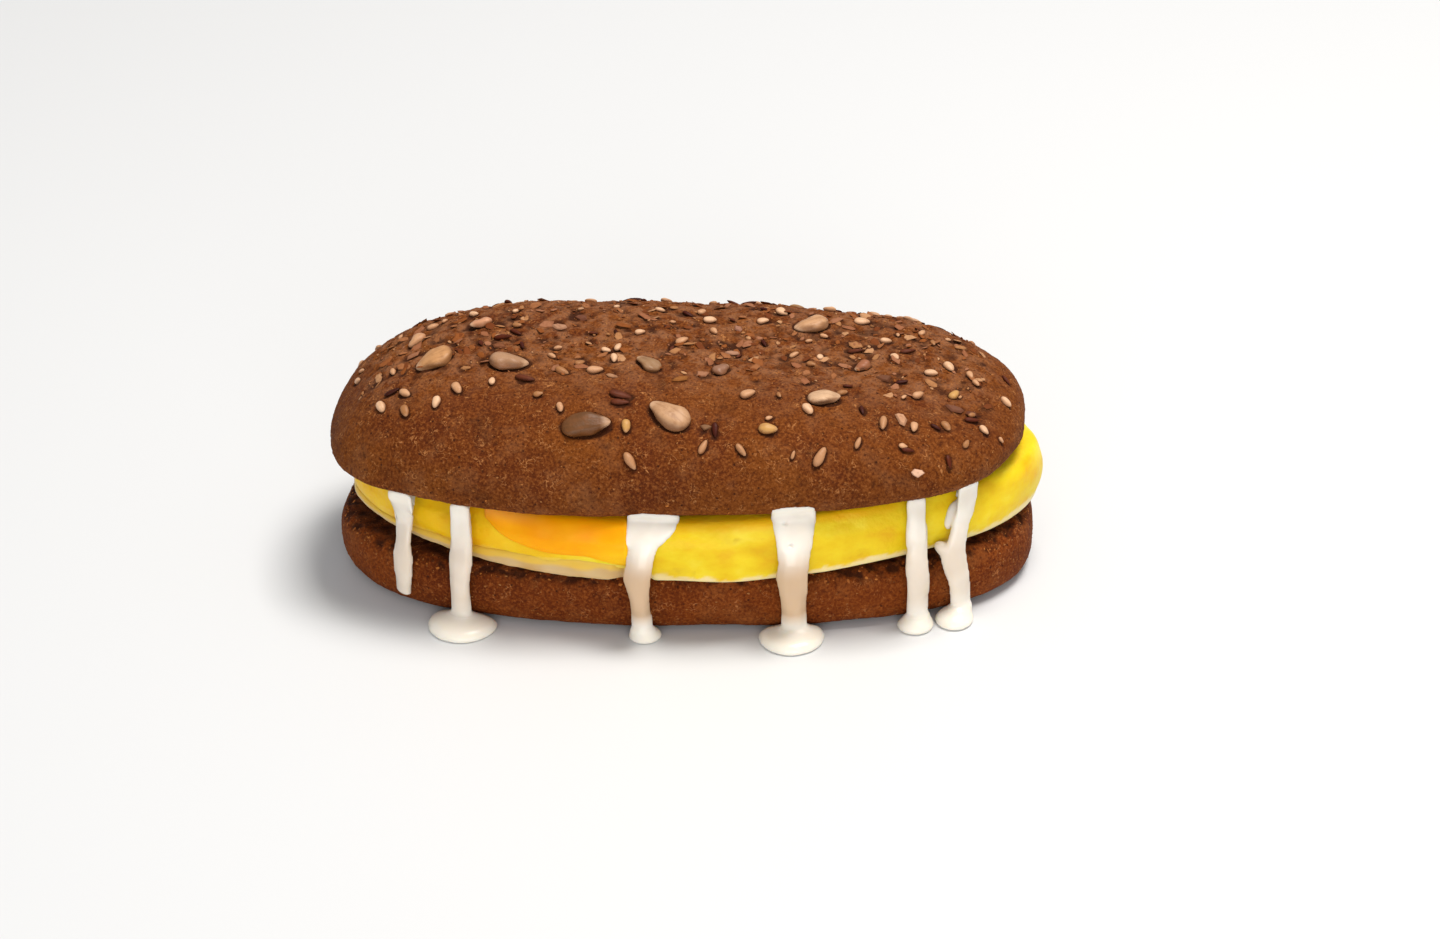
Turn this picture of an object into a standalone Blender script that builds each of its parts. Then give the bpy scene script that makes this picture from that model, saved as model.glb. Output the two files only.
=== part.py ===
"""Breakfast sandwich: a long seeded dark bun round an egg patty, two cheeses and a white sauce that drips.

Metres, +Z up. The long axis of the bun is X, the side with the drips faces -Y, and the sandwich
stands on Z = 0 with the origin under the heel. The layers are built from the bottom up, each on the
surface of the one below.
"""

import math
import random

import bmesh
import bpy
from mathutils import Matrix, Vector, noise
from mathutils.bvhtree import BVHTree

MM = 0.001
GAP = 0.4 * MM  # air left between neighbouring layers

# Bun. Its outline in plan is a superellipse: power 2 is an ellipse, more is fuller at the corners.
HEEL_HALF_LENGTH = 80.2 * MM
HEEL_HALF_WIDTH = 38.0 * MM
HEEL_HEIGHT = 14.5 * MM  # the last of HEEL_SIDE
HEEL_POWER = 2.5
HEEL_CENTRE = (0.4 * MM, 0.0)
HEEL_LUMP_SIZE = 19.0 * MM
HEEL_LUMP_SHARE = 0.016  # of the distance from its middle
# Its side from the flat underside up: how far in from the widest line, and the height, in millimetres
HEEL_SIDE = (
    (7.2, 0.0), (3.9, 0.35), (1.7, 1.5), (0.5, 3.5), (0.0, 6.6), (0.1, 9.6), (0.7, 12.0), (1.8, 13.7),
    (3.6, 14.5),
)
CROWN_HALF_LENGTH = 79.4 * MM
CROWN_HALF_WIDTH = 38.6 * MM
CROWN_POWER = 2.9
CROWN_CUT_POWER = 2.6  # the cut face is less full at the corners than the widest line
CROWN_CENTRE = (-1.5 * MM, -0.5 * MM)
CROWN_SEAT = 30.4 * MM  # height of its cut face at the middle
CROWN_RIM_HEIGHT = 4.0 * MM  # from the cut face up to the widest line
CROWN_RIM_INSET = 3.6 * MM  # the cut face's edge behind the widest line
CROWN_DOME_HEIGHT = 18.4 * MM
CROWN_DOME_POWERS = (3.9, 1.76)  # flatness of the top, roundness of the shoulder
CROWN_SKEW = -0.46  # the dome is fuller over the end where the patty is tucked in
CROWN_LEAN = math.radians(1.0)  # the cut face is higher over the end where the patty sticks out
CROWN_CURL = 2.1 * MM  # over the patty's curled end the cut face curls up with it
CROWN_CURL_ENDS = (-26.0 * MM, -62.0 * MM)
CROWN_LUMP_SIZE = 21.0 * MM
CROWN_LUMP_HEIGHT = 0.9 * MM
# The size of each ring of the dome as a share of the widest line
DOME_RINGS = (1.0, 0.992, 0.972, 0.94, 0.895, 0.84, 0.77, 0.68, 0.57, 0.44, 0.3, 0.15)

# Egg patty
EGG_HALF_LENGTH = 79.4 * MM
EGG_HALF_WIDTH = 41.2 * MM
EGG_POWER = 1.85
EGG_CENTRE = (2.6 * MM, 0.0)
EGG_STEP_X = -7.2 * MM  # left of here the patty lies between two slices of cheese
EGG_STEP_RUN = 4.6 * MM
EGG_CURL = 2.3 * MM  # the left end of the patty curls up off the heel
EGG_CURL_ENDS = (-28.0 * MM, -78.0 * MM)
EGG_LIFT = 1.2 * MM  # near its right end it lies a little off the heel
EGG_LIFT_ENDS = (12.0 * MM, 52.0 * MM)
EGG_BULGE = 0.45 * MM
EGG_BULGE_RUNS = (9.0 * MM, 23.0 * MM)
# Its side from the bottom up: how far in from the widest line in millimetres, at each share of the height
EGG_SIDE = (
    (5.5, 0.0), (1.7, 0.03), (0.5, 0.13), (0.0, 0.36), (0.3, 0.64), (1.5, 0.83), (3.6, 0.955), (7.5, 1.0),
)

# Cheeses
WHITE_THICKNESS = (1.1 * MM, 3.4 * MM)  # at its thin end and where it is cut
WHITE_ENDS = (-76.0 * MM, -11.4 * MM)
WHITE_OVERHANG = 0.4 * MM
WHITE_TUCK = 1.6 * MM  # how far its corner at the cut is drawn in
WHITE_TUCK_RUN = 4.0 * MM
WHITE_SIDE = ((1.6, 0.0), (0.4, 0.2), (0.0, 0.5), (0.4, 0.82), (1.6, 1.0))  # inset and share of thickness
CHEDDAR_THICKNESS = 1.7 * MM
CHEDDAR_GAP = 0.6 * MM
CHEDDAR_LEAST_HANG = 1.5 * MM
CHEDDAR_LOBE_POWER = 2.4  # how broad its lobe is
CHEDDAR_ENDS = (-49.5 * MM, -12.0 * MM)
CHEDDAR_LOWEST = (-25.0 * MM, 22.0 * MM)  # X and Z of the lowest point of its hanging edge
CHEDDAR_BACK = 6.0 * MM  # its far edge, in front of the sandwich's middle

# Sauce
SAUCE_THICKNESS = 1.0 * MM
SAUCE_INSET = 8.5 * MM  # edge of the spread behind the egg's edge
SPREAD_SIDE = ((0.3, 0.0), (0.0, 0.5), (0.3, 1.0))  # inset and share of thickness
POOL_HEIGHT = 2.3 * MM
POOL_SIDE = ((0.92, 0.0), (1.0, 0.28), (0.86, 0.66), (0.5, 0.95))  # share of its size and of its height
# Each drip in millimetres: where it runs in X, then at each of the levels how far it strays from there
# and how wide it is, then how thick it is, how far down it gets, and its pool's X, Y and half sizes.
DRIP_LEVELS = (30.0, 27.0, 24.0, 21.0, 18.0, 15.5, 13.0, 9.0, 1.0)
DRIPS = (
    {"x": -62.8, "stray": (0.3, 0.2, 0.2, 0.4, 0.2, 0.1, 0.0, -0.2, -0.3), "thick": 1.5, "end": 5.0,
     "widths": (6.2, 5.6, 4.8, 3.9, 3.5, 4.6, 4.9, 3.8, 3.0), "pool": None},
    {"x": -49.3, "stray": (0.6, 0.6, 0.7, 0.6, 0.4, 0.1, -0.1, -0.2, -0.1), "thick": 1.9, "end": 0.8,
     "widths": (4.4, 4.5, 4.7, 5.0, 5.6, 4.9, 4.5, 4.4, 5.0), "pool": (-49.2, -34.9, 7.8, 7.6)},
    {"x": -8.5, "stray": (5.2, 1.6, 0.5, 0.1, -0.5, -0.3, -0.1, 0.0, 0.4), "thick": 1.9, "end": 0.8,
     "widths": (15.8, 8.8, 6.5, 6.0, 6.3, 5.2, 4.4, 4.3, 5.2), "pool": (-7.7, -38.3, 3.6, 4.0)},
    {"x": 25.8, "stray": (-0.6, 0.2, 0.1, 0.1, -0.4, -0.1, 0.0, 0.0, 0.0), "thick": 2.1, "end": 0.8,
     "widths": (11.8, 8.6, 7.5, 6.8, 7.1, 6.5, 6.0, 5.5, 5.9), "pool": (25.2, -39.0, 7.3, 7.6)},
    {"x": 53.3, "stray": (-0.5, -0.3, 0.1, 0.1, -0.3, 0.0, 0.3, 0.3, 0.0), "thick": 1.8, "end": 0.8,
     "widths": (4.3, 4.3, 4.3, 4.3, 5.2, 5.1, 5.0, 4.9, 4.9), "pool": (53.0, -33.6, 3.9, 4.2)},
    {"x": 62.6, "stray": (1.9, 1.2, 0.4, 0.0, -1.2, -1.4, -0.3, 0.4, 0.6), "thick": 1.7, "end": 0.8,
     "widths": (4.4, 4.4, 4.2, 3.8, 5.4, 6.2, 4.9, 4.5, 4.6), "pool": (61.8, -31.0, 4.1, 4.9)},
)
DRIP_TONGUE = 9.0 * MM  # how far it reaches back into the spread
DRIP_FOOT_HEIGHT = 8.0 * MM  # below this it falls straight down
# A drip is laid with rays to a pivot inside the patty, from over its shoulder down to the heel's side.
DRIP_ROWS = 12
DRIP_ACROSS = (-1.0, -0.5, 0.0, 0.5, 1.0)
DRIP_FIRST_BEARING = math.radians(70.0)
DRIP_PIVOT_POINT = 5  # the point of the patty's section that is widest
DRIP_PIVOT_DEPTH = 13.0 * MM
DRIP_PIVOT_HEIGHT = 19.0 * MM
DRIP_RAY = 60.0 * MM
HEEL_WIDEST = 7.5 * MM  # the level of the heel that a drip's foot clears
POOL_HEEL_LEVEL = 3.0 * MM  # a pool ends behind at the heel's side, taken at this height

# Seeds: length, width and thickness of each kind
SUNFLOWER_SIZE = (9.6 * MM, 5.6 * MM, 2.8 * MM)
SESAME_SIZE = (3.4 * MM, 2.2 * MM, 1.3 * MM)
FLAX_SIZE = (4.6 * MM, 2.3 * MM, 1.4 * MM)
SUNFLOWER_PLACES = (  # X and Y in millimetres from the crown's middle, the turn in degrees, the size
    (-18, -28, 1, 1.06), (0, -26, -28, 1.06), (-55, -3, 18, 0.96), (-37, -8, -14, 0.9), (30, 15, 23, 0.93),
    (34, -19, 37, 0.84), (-6, -8, -48, 0.78), (42, 18, 30, 0.67), (10, -9, 26, 0.62), (54, -12, -13, 0.6),
    (-45, 10, 0, 0.6), (-24, 31, -25, 0.9), (5, 32, 70, 0.95), (-58, 20, 40, 0.7),
)
# The small seeds that lie apart from the others, low on the side with the drips
LONE_SEEDS = (
    (-72, 1), (-66, -16), (-60, -20), (-53, -20), (-48, -16), (-41, -15), (-30, -20), (-25, -24), (-10, -29),
    (-9, -35), (10, -30), (7, -33), (22, -29), (33, -33), (42, -30), (55, -32), (70, -20), (67, -14),
)
SESAME_COUNT = 62
FLAX_COUNT = 36
SOWN_FRONT = -24.0 * MM  # in front of this no seeds are sown between the lone ones
SEED_CLEARANCE = 3.3 * MM
RANDOM_SEED = 11

BREAD = ("dark_bread_crust", (0.20, 0.075, 0.028), 0.75)
EGG = ("cooked_egg", (0.88, 0.62, 0.045), 0.45)
CHEDDAR = ("melted_cheddar", (0.88, 0.34, 0.012), 0.35)
WHITE_CHEESE = ("pale_cheese", (0.80, 0.62, 0.34), 0.45)
WHITE_SAUCE = ("white_sauce", (0.83, 0.76, 0.64), 0.3)


def clear_scene():
    for old in list(bpy.data.objects):
        bpy.data.objects.remove(old, do_unlink=True)


def make_material(name, colour, roughness):
    material = bpy.data.materials.get(name)
    if material is None:
        material = bpy.data.materials.new(name)
        material.use_nodes = True
        shader = material.node_tree.nodes["Principled BSDF"]
        shader.inputs["Base Color"].default_value = (*colour, 1.0)
        shader.inputs["Roughness"].default_value = roughness
        shader.inputs["Metallic"].default_value = 0.0
    return material


def add_object(name, mesh, finish, parent=None, smooth=True):
    obj = bpy.data.objects.new(name, mesh)
    bpy.context.scene.collection.objects.link(obj)
    obj.data.materials.append(make_material(*finish))
    obj.parent = parent
    if smooth:
        mesh.shade_smooth()
    return obj


def lerp(a, b, share):
    return a + (b - a) * share


def smooth_step(value):
    value = min(1.0, max(0.0, value))
    return value * value * (3.0 - 2.0 * value)


def sample(values, stops, at):
    """The value at a place between stops, which are in falling order."""
    for (high, above), (low, below) in zip(zip(stops, values), zip(stops[1:], values[1:])):
        if at >= low:
            return lerp(below, above, min(1.0, (at - low) / (high - low)))
    return values[-1]


def outline_point(half_length, half_width, power, angle, centre=(0.0, 0.0)):
    c, s = math.cos(angle), math.sin(angle)
    x = math.copysign(abs(c) ** (2.0 / power), c) * half_length
    y = math.copysign(abs(s) ** (2.0 / power), s) * half_width
    return centre[0] + x, centre[1] + y


def lump(point, size, height, shift=0.0):
    """A soft rise or dip at a point, the same each time."""
    return height * noise.noise(Vector(point) / size + Vector((shift, shift, shift)))


def mesh_from_rings(name, rings, peak=None, strips=False):
    """A closed mesh through rings of points, from the lowest up. The last is closed round a peak if
    there is one. A ring closed with strips from front to back keeps a bend that runs across it."""
    bm = bmesh.new()
    loops = [[bm.verts.new(point) for point in ring] for ring in rings]
    for lower, upper in zip(loops, loops[1:]):
        for i in range(len(lower)):
            j = (i + 1) % len(lower)
            bm.faces.new((lower[i], lower[j], upper[j], upper[i]))
    bottom, top = loops[0], loops[-1]
    if strips:
        add_strips(bm, bottom, False)
    else:
        bm.faces.new(list(reversed(bottom)))
    if peak:
        middle = bm.verts.new(peak)
        for i in range(len(top)):
            bm.faces.new((top[i], top[(i + 1) % len(top)], middle))
    elif strips:
        add_strips(bm, top, True)
    else:
        bm.faces.new(top)
    bm.normal_update()
    mesh = bpy.data.meshes.new(name)
    bm.to_mesh(mesh)
    bm.free()
    return mesh


def add_strips(bm, loop, upward):
    """Closes a ring with strips between its two sides, which start and end at its right."""
    last = len(loop) - 1
    for i in range(last // 2):
        corners = list(dict.fromkeys((loop[i], loop[i + 1], loop[last - i - 1], loop[last - i])))
        bm.faces.new(corners if upward else list(reversed(corners)))


def mesh_from_sheet(name, inner, outer):
    """A closed mesh between two grids of points, the inner one facing away from the outer one."""
    bm = bmesh.new()
    rows, columns = len(inner), len(inner[0])
    low = [[bm.verts.new(point) for point in row] for row in inner]
    high = [[bm.verts.new(point) for point in row] for row in outer]
    for i in range(rows - 1):
        for j in range(columns - 1):
            bm.faces.new((low[i][j], low[i + 1][j], low[i + 1][j + 1], low[i][j + 1]))
            bm.faces.new((high[i][j], high[i][j + 1], high[i + 1][j + 1], high[i + 1][j]))
    border = [(0, j) for j in range(columns - 1)] + [(i, columns - 1) for i in range(rows - 1)]
    border += [(rows - 1, j) for j in range(columns - 1, 0, -1)] + [(i, 0) for i in range(rows - 1, 0, -1)]
    for (a, b), (c, d) in zip(border, border[1:] + border[:1]):
        bm.faces.new((low[a][b], low[c][d], high[c][d], high[a][b]))
    bmesh.ops.recalc_face_normals(bm, faces=bm.faces)
    mesh = bpy.data.meshes.new(name)
    bm.to_mesh(mesh)
    bm.free()
    return mesh


def raise_lumps(mesh, size, height, keep_below=None, shift=0.0):
    """Moves each point of a mesh along its normal by a soft lump. Points under keep_below stay."""
    for vertex in mesh.vertices:
        if keep_below is None or vertex.co.z > keep_below:
            vertex.co += vertex.normal * lump(vertex.co, size, height, shift)
    mesh.update()


def surface_of(*objects):
    """One tree of the faces of several objects, to find their surface with rays."""
    points, faces = [], []
    for obj in objects:
        first = len(points)
        points += [vertex.co.copy() for vertex in obj.data.vertices]
        faces += [[first + i for i in face.vertices] for face in obj.data.polygons]
    return BVHTree.FromPolygons(points, faces)


def crown_seat(x):
    """Height of the crown's cut face."""
    start, end = CROWN_CURL_ENDS
    return CROWN_SEAT + math.tan(CROWN_LEAN) * x + CROWN_CURL * smooth_step((x - start) / (end - start))


def beside_cheese(x):
    """1 where the egg lies between the cheeses, 0 where it has the height to itself."""
    return smooth_step((EGG_STEP_X - x) / EGG_STEP_RUN + 0.5)


def white_thickness(x):
    thin, full = WHITE_THICKNESS
    return lerp(thin, full, smooth_step((x - WHITE_ENDS[0]) / (WHITE_ENDS[1] - WHITE_ENDS[0])))


def filling_bottom(x):
    """Height of the lowest layer on the heel, which curls up at one end and lifts a little at the other."""
    rise = 0.0
    for height, (start, end) in ((EGG_CURL, EGG_CURL_ENDS), (EGG_LIFT, EGG_LIFT_ENDS)):
        rise += height * smooth_step((x - start) / (end - start))
    return HEEL_HEIGHT + GAP + rise


def egg_bottom(x):
    return filling_bottom(x) + (white_thickness(x) + GAP) * beside_cheese(x)


def egg_top(x):
    cheese = (CHEDDAR_THICKNESS + CHEDDAR_GAP) * beside_cheese(x)
    return crown_seat(x) - 2.0 * GAP - SAUCE_THICKNESS - cheese


def egg_swell(x, share):
    """The patty bulges and draws in along its side."""
    short, long = EGG_BULGE_RUNS
    return EGG_BULGE * math.sin(x / short + 2.4 * share) * math.sin(x / long + 1.0)


def egg_section(x, side):
    """The egg's outline across the sandwich at X: (Y, Z) from over the middle out to one side and down."""
    points = [(0.0, egg_top(x))]
    for inset, share in reversed(EGG_SIDE):
        reach = EGG_HALF_LENGTH - inset * MM
        along = min(1.0, abs(x - EGG_CENTRE[0]) / reach)
        width = (EGG_HALF_WIDTH - inset * MM) * (1.0 - along**EGG_POWER) ** (1.0 / EGG_POWER)
        width = max(0.5 * MM, width + egg_swell(x, share))
        height = lerp(egg_bottom(x), egg_top(x), share)
        points.append((side * width, height))
    return points


def make_heel(parent):
    segments = 68
    rings = []
    for inset, height in HEEL_SIDE:
        size = (HEEL_HALF_LENGTH - inset * MM, HEEL_HALF_WIDTH - inset * MM, HEEL_POWER)
        ring = []
        for i in range(segments):
            x, y = outline_point(*size, math.tau * i / segments)
            swell = 1.0 + lump((x, y, height * MM), HEEL_LUMP_SIZE, HEEL_LUMP_SHARE)
            ring.append((HEEL_CENTRE[0] + x * swell, HEEL_CENTRE[1] + y * swell, height * MM))
        rings.append(ring)
    return add_object("bottom_bun", mesh_from_rings("bottom_bun", rings), BREAD, parent)


def make_white_cheese(parent):
    """The slice under the patty: it follows the patty's outline and ends in a straight cut."""
    segments = 36
    rings = []
    for inset, share in WHITE_SIDE:
        half_length = EGG_HALF_LENGTH + (WHITE_OVERHANG - inset * MM)
        half_width = EGG_HALF_WIDTH + (WHITE_OVERHANG - inset * MM)
        cut_x = WHITE_ENDS[1] - inset * MM
        first = math.acos(((EGG_CENTRE[0] - cut_x) / half_length) ** (EGG_POWER / 2.0))
        ring = []
        for i in range(segments + 1):
            angle = lerp(math.pi - first, math.pi + first, i / segments)
            x, y = outline_point(half_length, half_width, EGG_POWER, angle, EGG_CENTRE)
            tuck = WHITE_TUCK * smooth_step(1.0 - (cut_x - x) / WHITE_TUCK_RUN)
            ring.append((x, y - math.copysign(tuck, y)))
        rings.append([(x, y, filling_bottom(x) + white_thickness(x) * share) for x, y in ring])
    mesh = mesh_from_rings("white_cheese", rings, strips=True)
    return add_object("white_cheese", mesh, WHITE_CHEESE, parent)


def make_egg(parent):
    segments = 80
    rings = []
    for inset, share in EGG_SIDE:
        size = (EGG_HALF_LENGTH - inset * MM, EGG_HALF_WIDTH - inset * MM, EGG_POWER)
        ring = []
        for i in range(segments):
            x, y = outline_point(*size, math.tau * (i + 0.5) / segments, EGG_CENTRE)
            across = min(1.0, abs(y) / (0.35 * EGG_HALF_WIDTH))
            y += math.copysign(egg_swell(x, share) * across, y)
            ring.append((x, y, lerp(egg_bottom(x), egg_top(x), share)))
        rings.append(ring)
    return add_object("egg", mesh_from_rings("egg", rings, strips=True), EGG, parent)


def along_section(points, distance):
    """The point at a distance along a run of points, and the unit vector out of it."""
    for (y0, z0), (y1, z1) in zip(points, points[1:]):
        length = math.hypot(y1 - y0, z1 - z0)
        if distance <= length or (y1, z1) == points[-1]:
            share = distance / length
            out = Vector((0.0, (z1 - z0) / length, (y0 - y1) / length))
            return Vector((0.0, lerp(y0, y1, share), lerp(z0, z1, share))), out
        distance -= length


def distance_down(points, height):
    """How far along a run of points it first comes down to a height."""
    gone = 0.0
    for (y0, z0), (y1, z1) in zip(points, points[1:]):
        length = math.hypot(y1 - y0, z1 - z0)
        if z1 <= height:
            return gone + length * (z0 - height) / (z0 - z1)
        gone += length
    return gone


def cheddar_edge(x):
    """Height of the slice's hanging edge: a lobe, deepest right of its middle."""
    middle, lowest = CHEDDAR_LOWEST
    end = CHEDDAR_ENDS[0] if x < middle else CHEDDAR_ENDS[1]
    along = min(1.0, abs((x - middle) / (end - middle)))
    return lerp(lowest, egg_top(x) - 0.2 * MM, along**CHEDDAR_LOBE_POWER)


def make_cheddar(parent):
    columns = 18
    shares = (0.0, 0.12, 0.24, 0.37, 0.5, 0.64, 0.82, 1.0)  # of the way round the shoulder
    inner, outer = [], []
    for i in range(columns):
        x = lerp(*CHEDDAR_ENDS, i / (columns - 1))
        section = egg_section(x, -1.0)
        reach = distance_down(section, cheddar_edge(x))
        shoulder = -section[1][0]
        hem = max(reach, shoulder + CHEDDAR_LEAST_HANG)
        low, high = [], []
        for distance in (CHEDDAR_BACK, *(lerp(shoulder, hem, share) for share in shares)):
            place, out = along_section(section, distance)
            place.x = x
            low.append(place + out * CHEDDAR_GAP)
            high.append(place + out * (CHEDDAR_GAP + CHEDDAR_THICKNESS))
        inner.append(low)
        outer.append(high)
    return add_object("cheddar", mesh_from_sheet("cheddar", inner, outer), CHEDDAR, parent)


def union_into(base, pieces):
    """Joins pieces to the base as one solid, then removes them."""
    group = bpy.data.collections.new(base.name + "_pieces")
    bpy.context.scene.collection.children.link(group)
    for piece in pieces:
        bpy.context.scene.collection.objects.unlink(piece)
        group.objects.link(piece)
    join = base.modifiers.new("Join", "BOOLEAN")
    join.operation = "UNION"
    join.solver = "EXACT"
    join.operand_type = "COLLECTION"
    join.collection = group
    bpy.context.view_layer.update()
    joined = bpy.data.meshes.new_from_object(base.evaluated_get(bpy.context.evaluated_depsgraph_get()))
    base.modifiers.clear()
    base.data = joined
    for piece in pieces:
        bpy.data.objects.remove(piece, do_unlink=True)
    bpy.data.collections.remove(group)


def reach_from(surface, pivot, bearing, x, spread):
    """How far the surface lies from a pivot on a bearing at X, at its furthest over a small spread."""
    furthest = 0.0
    for turn, side in ((0.0, 0.0), (-0.5, 0.0), (0.5, 0.0), (0.0, -1.0), (0.0, 1.0)):
        angle = bearing + turn * spread[0]
        ray = Vector((0.0, -math.cos(angle), math.sin(angle)))
        start = Vector((x + side * spread[1], pivot.y, pivot.z)) + ray * DRIP_RAY
        hit = surface.ray_cast(start, -ray)[0]
        if hit:
            furthest = max(furthest, (hit - Vector((hit.x, pivot.y, pivot.z))).length)
    return furthest


def heel_front(surface, x, height=HEEL_WIDEST):
    """The Y of the heel's side at X."""
    return surface.ray_cast(Vector((x, -0.2, height)), Vector((0.0, 1.0, 0.0)))[0].y


def drawn_taut(reaches):
    """Fills the hollows in a run of reaches, as a thread drawn over them would."""
    taut = list(reaches)
    for _ in range(DRIP_ROWS):
        for i in range(1, len(taut) - 1):
            taut[i] = max(taut[i], 0.5 * (taut[i - 1] + taut[i + 1]))
    return taut


def drip_columns(drip, height):
    """The X of a drip's points at a height, from its left edge to its right."""
    stray = sample(drip["stray"], DRIP_LEVELS, height / MM)
    half = 0.5 * sample(drip["widths"], DRIP_LEVELS, height / MM)
    return [(drip["x"] + stray + across * half) * MM for across in DRIP_ACROSS]


def make_drip(surface, drip, number):
    """One run of sauce: a strip that hugs the filling and the heel, thickest along its middle."""
    x_middle = drip["x"] * MM
    widest = egg_section(x_middle, -1.0)[DRIP_PIVOT_POINT]
    pivot = Vector((x_middle, widest[0] + DRIP_PIVOT_DEPTH, DRIP_PIVOT_HEIGHT))
    foot = heel_front(surface, x_middle)
    lowest = -math.atan2(DRIP_PIVOT_HEIGHT - DRIP_FOOT_HEIGHT, pivot.y - foot)
    bearings = [lerp(DRIP_FIRST_BEARING, lowest, i / (DRIP_ROWS - 1)) for i in range(DRIP_ROWS)]
    step = bearings[0] - bearings[1]
    middle = drawn_taut([reach_from(surface, pivot, bearing, x_middle, (step, 0.0)) for bearing in bearings])
    levels = [pivot.z + (reach + GAP) * math.sin(bearing) for reach, bearing in zip(middle, bearings)]
    grid = [drip_columns(drip, level) for level in levels]
    reaches = []
    for j in range(len(DRIP_ACROSS)):
        side = 0.5 * (grid[0][1] - grid[0][0])
        column = [reach_from(surface, pivot, b, xs[j], (step, side)) for b, xs in zip(bearings, grid)]
        reaches.append(drawn_taut(column))
    swells = [math.sqrt(1.0 - 0.93 * across * across) for across in DRIP_ACROSS]
    inner, outer = [], []
    for i, bearing in enumerate(bearings):
        ray = Vector((0.0, -math.cos(bearing), math.sin(bearing)))
        out = ray if bearing > 0.0 else Vector((0.0, -1.0, 0.0))
        thick = lerp(0.9 * SAUCE_THICKNESS, drip["thick"] * MM, smooth_step(i / (DRIP_ROWS - 1) / 0.6))
        low = [Vector((x, *pivot.yz)) + ray * (GAP + reach[i]) for x, reach in zip(grid[i], reaches)]
        inner.append(low)
        outer.append([point + out * thick * swell for point, swell in zip(low, swells)])
    over = crown_seat(x_middle) - GAP - 0.2 * SAUCE_THICKNESS
    under = over - 0.6 * SAUCE_THICKNESS
    for low, high in zip(inner, outer):
        for a, b in zip(low, high):
            b.z = min(b.z, over)
            a.z = min(a.z, b.z - 0.3 * SAUCE_THICKNESS)
    start = list(inner[0])
    inner.insert(0, [Vector((point.x, point.y + DRIP_TONGUE, under)) for point in start])
    outer.insert(0, [Vector((point.x, point.y + DRIP_TONGUE, over)) for point in start])
    end = drip["end"] * MM
    for height in (0.45 * (DRIP_FOOT_HEIGHT + end), end):
        low = []
        for x, above in zip(drip_columns(drip, height), inner[-1]):
            low.append(Vector((x, min(above.y, heel_front(surface, x) - GAP), height)))
        inner.append(low)
        thick = drip["thick"] * MM
        outer.append([point - Vector((0.0, thick * swell, 0.0)) for point, swell in zip(low, swells)])
    return add_object(f"drip_{number}", mesh_from_sheet("drip", inner, outer), WHITE_SAUCE)


def make_pool(surface, drip, number):
    """A flat drop on the floor that ends behind where it meets the heel."""
    x, y, half_length, half_width = (value * MM for value in drip["pool"])
    segments = 14
    rings = []
    for scale, share in POOL_SIDE:
        size = (half_length * scale, half_width * scale, 2.0)
        ring = []
        for i in range(segments):
            px, py = outline_point(*size, math.tau * i / segments, (x, y))
            limit = heel_front(surface, px, POOL_HEEL_LEVEL) - (1.2 - share) * MM
            ring.append((px, min(py, limit), POOL_HEIGHT * share))
        rings.append(ring)
    mesh = mesh_from_rings("pool", rings)
    return add_object(f"pool_{number}", mesh, WHITE_SAUCE)


def make_sauce(parent, surface):
    """The spread under the crown, with its drips and their pools, as one solid."""
    segments = 40
    rings = []
    for inset, share in SPREAD_SIDE:
        size = (EGG_HALF_LENGTH - SAUCE_INSET - inset * MM, EGG_HALF_WIDTH - SAUCE_INSET - inset * MM)
        ring = []
        for i in range(segments):
            x, y = outline_point(*size, EGG_POWER, math.tau * (i + 0.5) / segments, EGG_CENTRE)
            ring.append((x, y, crown_seat(x) - GAP - SAUCE_THICKNESS * (1.0 - share)))
        rings.append(ring)
    sauce = add_object("sauce", mesh_from_rings("sauce", rings, strips=True), WHITE_SAUCE, parent)
    pieces = []
    for number, drip in enumerate(DRIPS, 1):
        pieces.append(make_drip(surface, drip, number))
        if drip["pool"]:
            pieces.append(make_pool(surface, drip, number))
    union_into(sauce, pieces)
    return sauce


def crown_height(scale):
    flatness, roundness = CROWN_DOME_POWERS
    return CROWN_DOME_HEIGHT * (1.0 - scale**flatness) ** (1.0 / roundness)


def make_crown(parent):
    """The domed top of the bun, without its seeds."""
    segments = 64
    widest = CROWN_SEAT + CROWN_RIM_HEIGHT
    lean = math.tan(CROWN_LEAN)
    sizes = []
    for i in range(4):
        turn = 0.5 * math.pi * i / 4.0
        inset = CROWN_RIM_INSET * (1.0 - math.sin(turn))
        power = lerp(CROWN_CUT_POWER, CROWN_POWER, math.sin(turn))
        sizes.append((CROWN_HALF_LENGTH - inset, CROWN_HALF_WIDTH - inset, power, 0.0, math.cos(turn), 0.0))
    for scale in DOME_RINGS:
        size = (CROWN_HALF_LENGTH * scale, CROWN_HALF_WIDTH * scale, CROWN_POWER)
        skew = CROWN_SKEW * CROWN_DOME_HEIGHT * (1.0 - scale * scale) / CROWN_HALF_LENGTH
        sizes.append((*size, crown_height(scale), 0.0, skew))
    rings = []
    for *size, above, tucked, skew in sizes:
        ring = []
        for i in range(segments):
            x, y = outline_point(*size, math.tau * (i + 0.5) / segments, CROWN_CENTRE)
            ring.append((x, y, lerp(widest + lean * x, crown_seat(x), tucked) + above + skew * x))
        rings.append(ring)
    x, y = CROWN_CENTRE
    summit = (x, y, widest + CROWN_DOME_HEIGHT + lean * x)
    mesh = mesh_from_rings("top_bun", rings, summit, strips=True)
    raise_lumps(mesh, CROWN_LUMP_SIZE, CROWN_LUMP_HEIGHT, keep_below=CROWN_SEAT + 1.5 * MM, shift=4.0)
    return add_object("top_bun", mesh, BREAD, parent)


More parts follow.
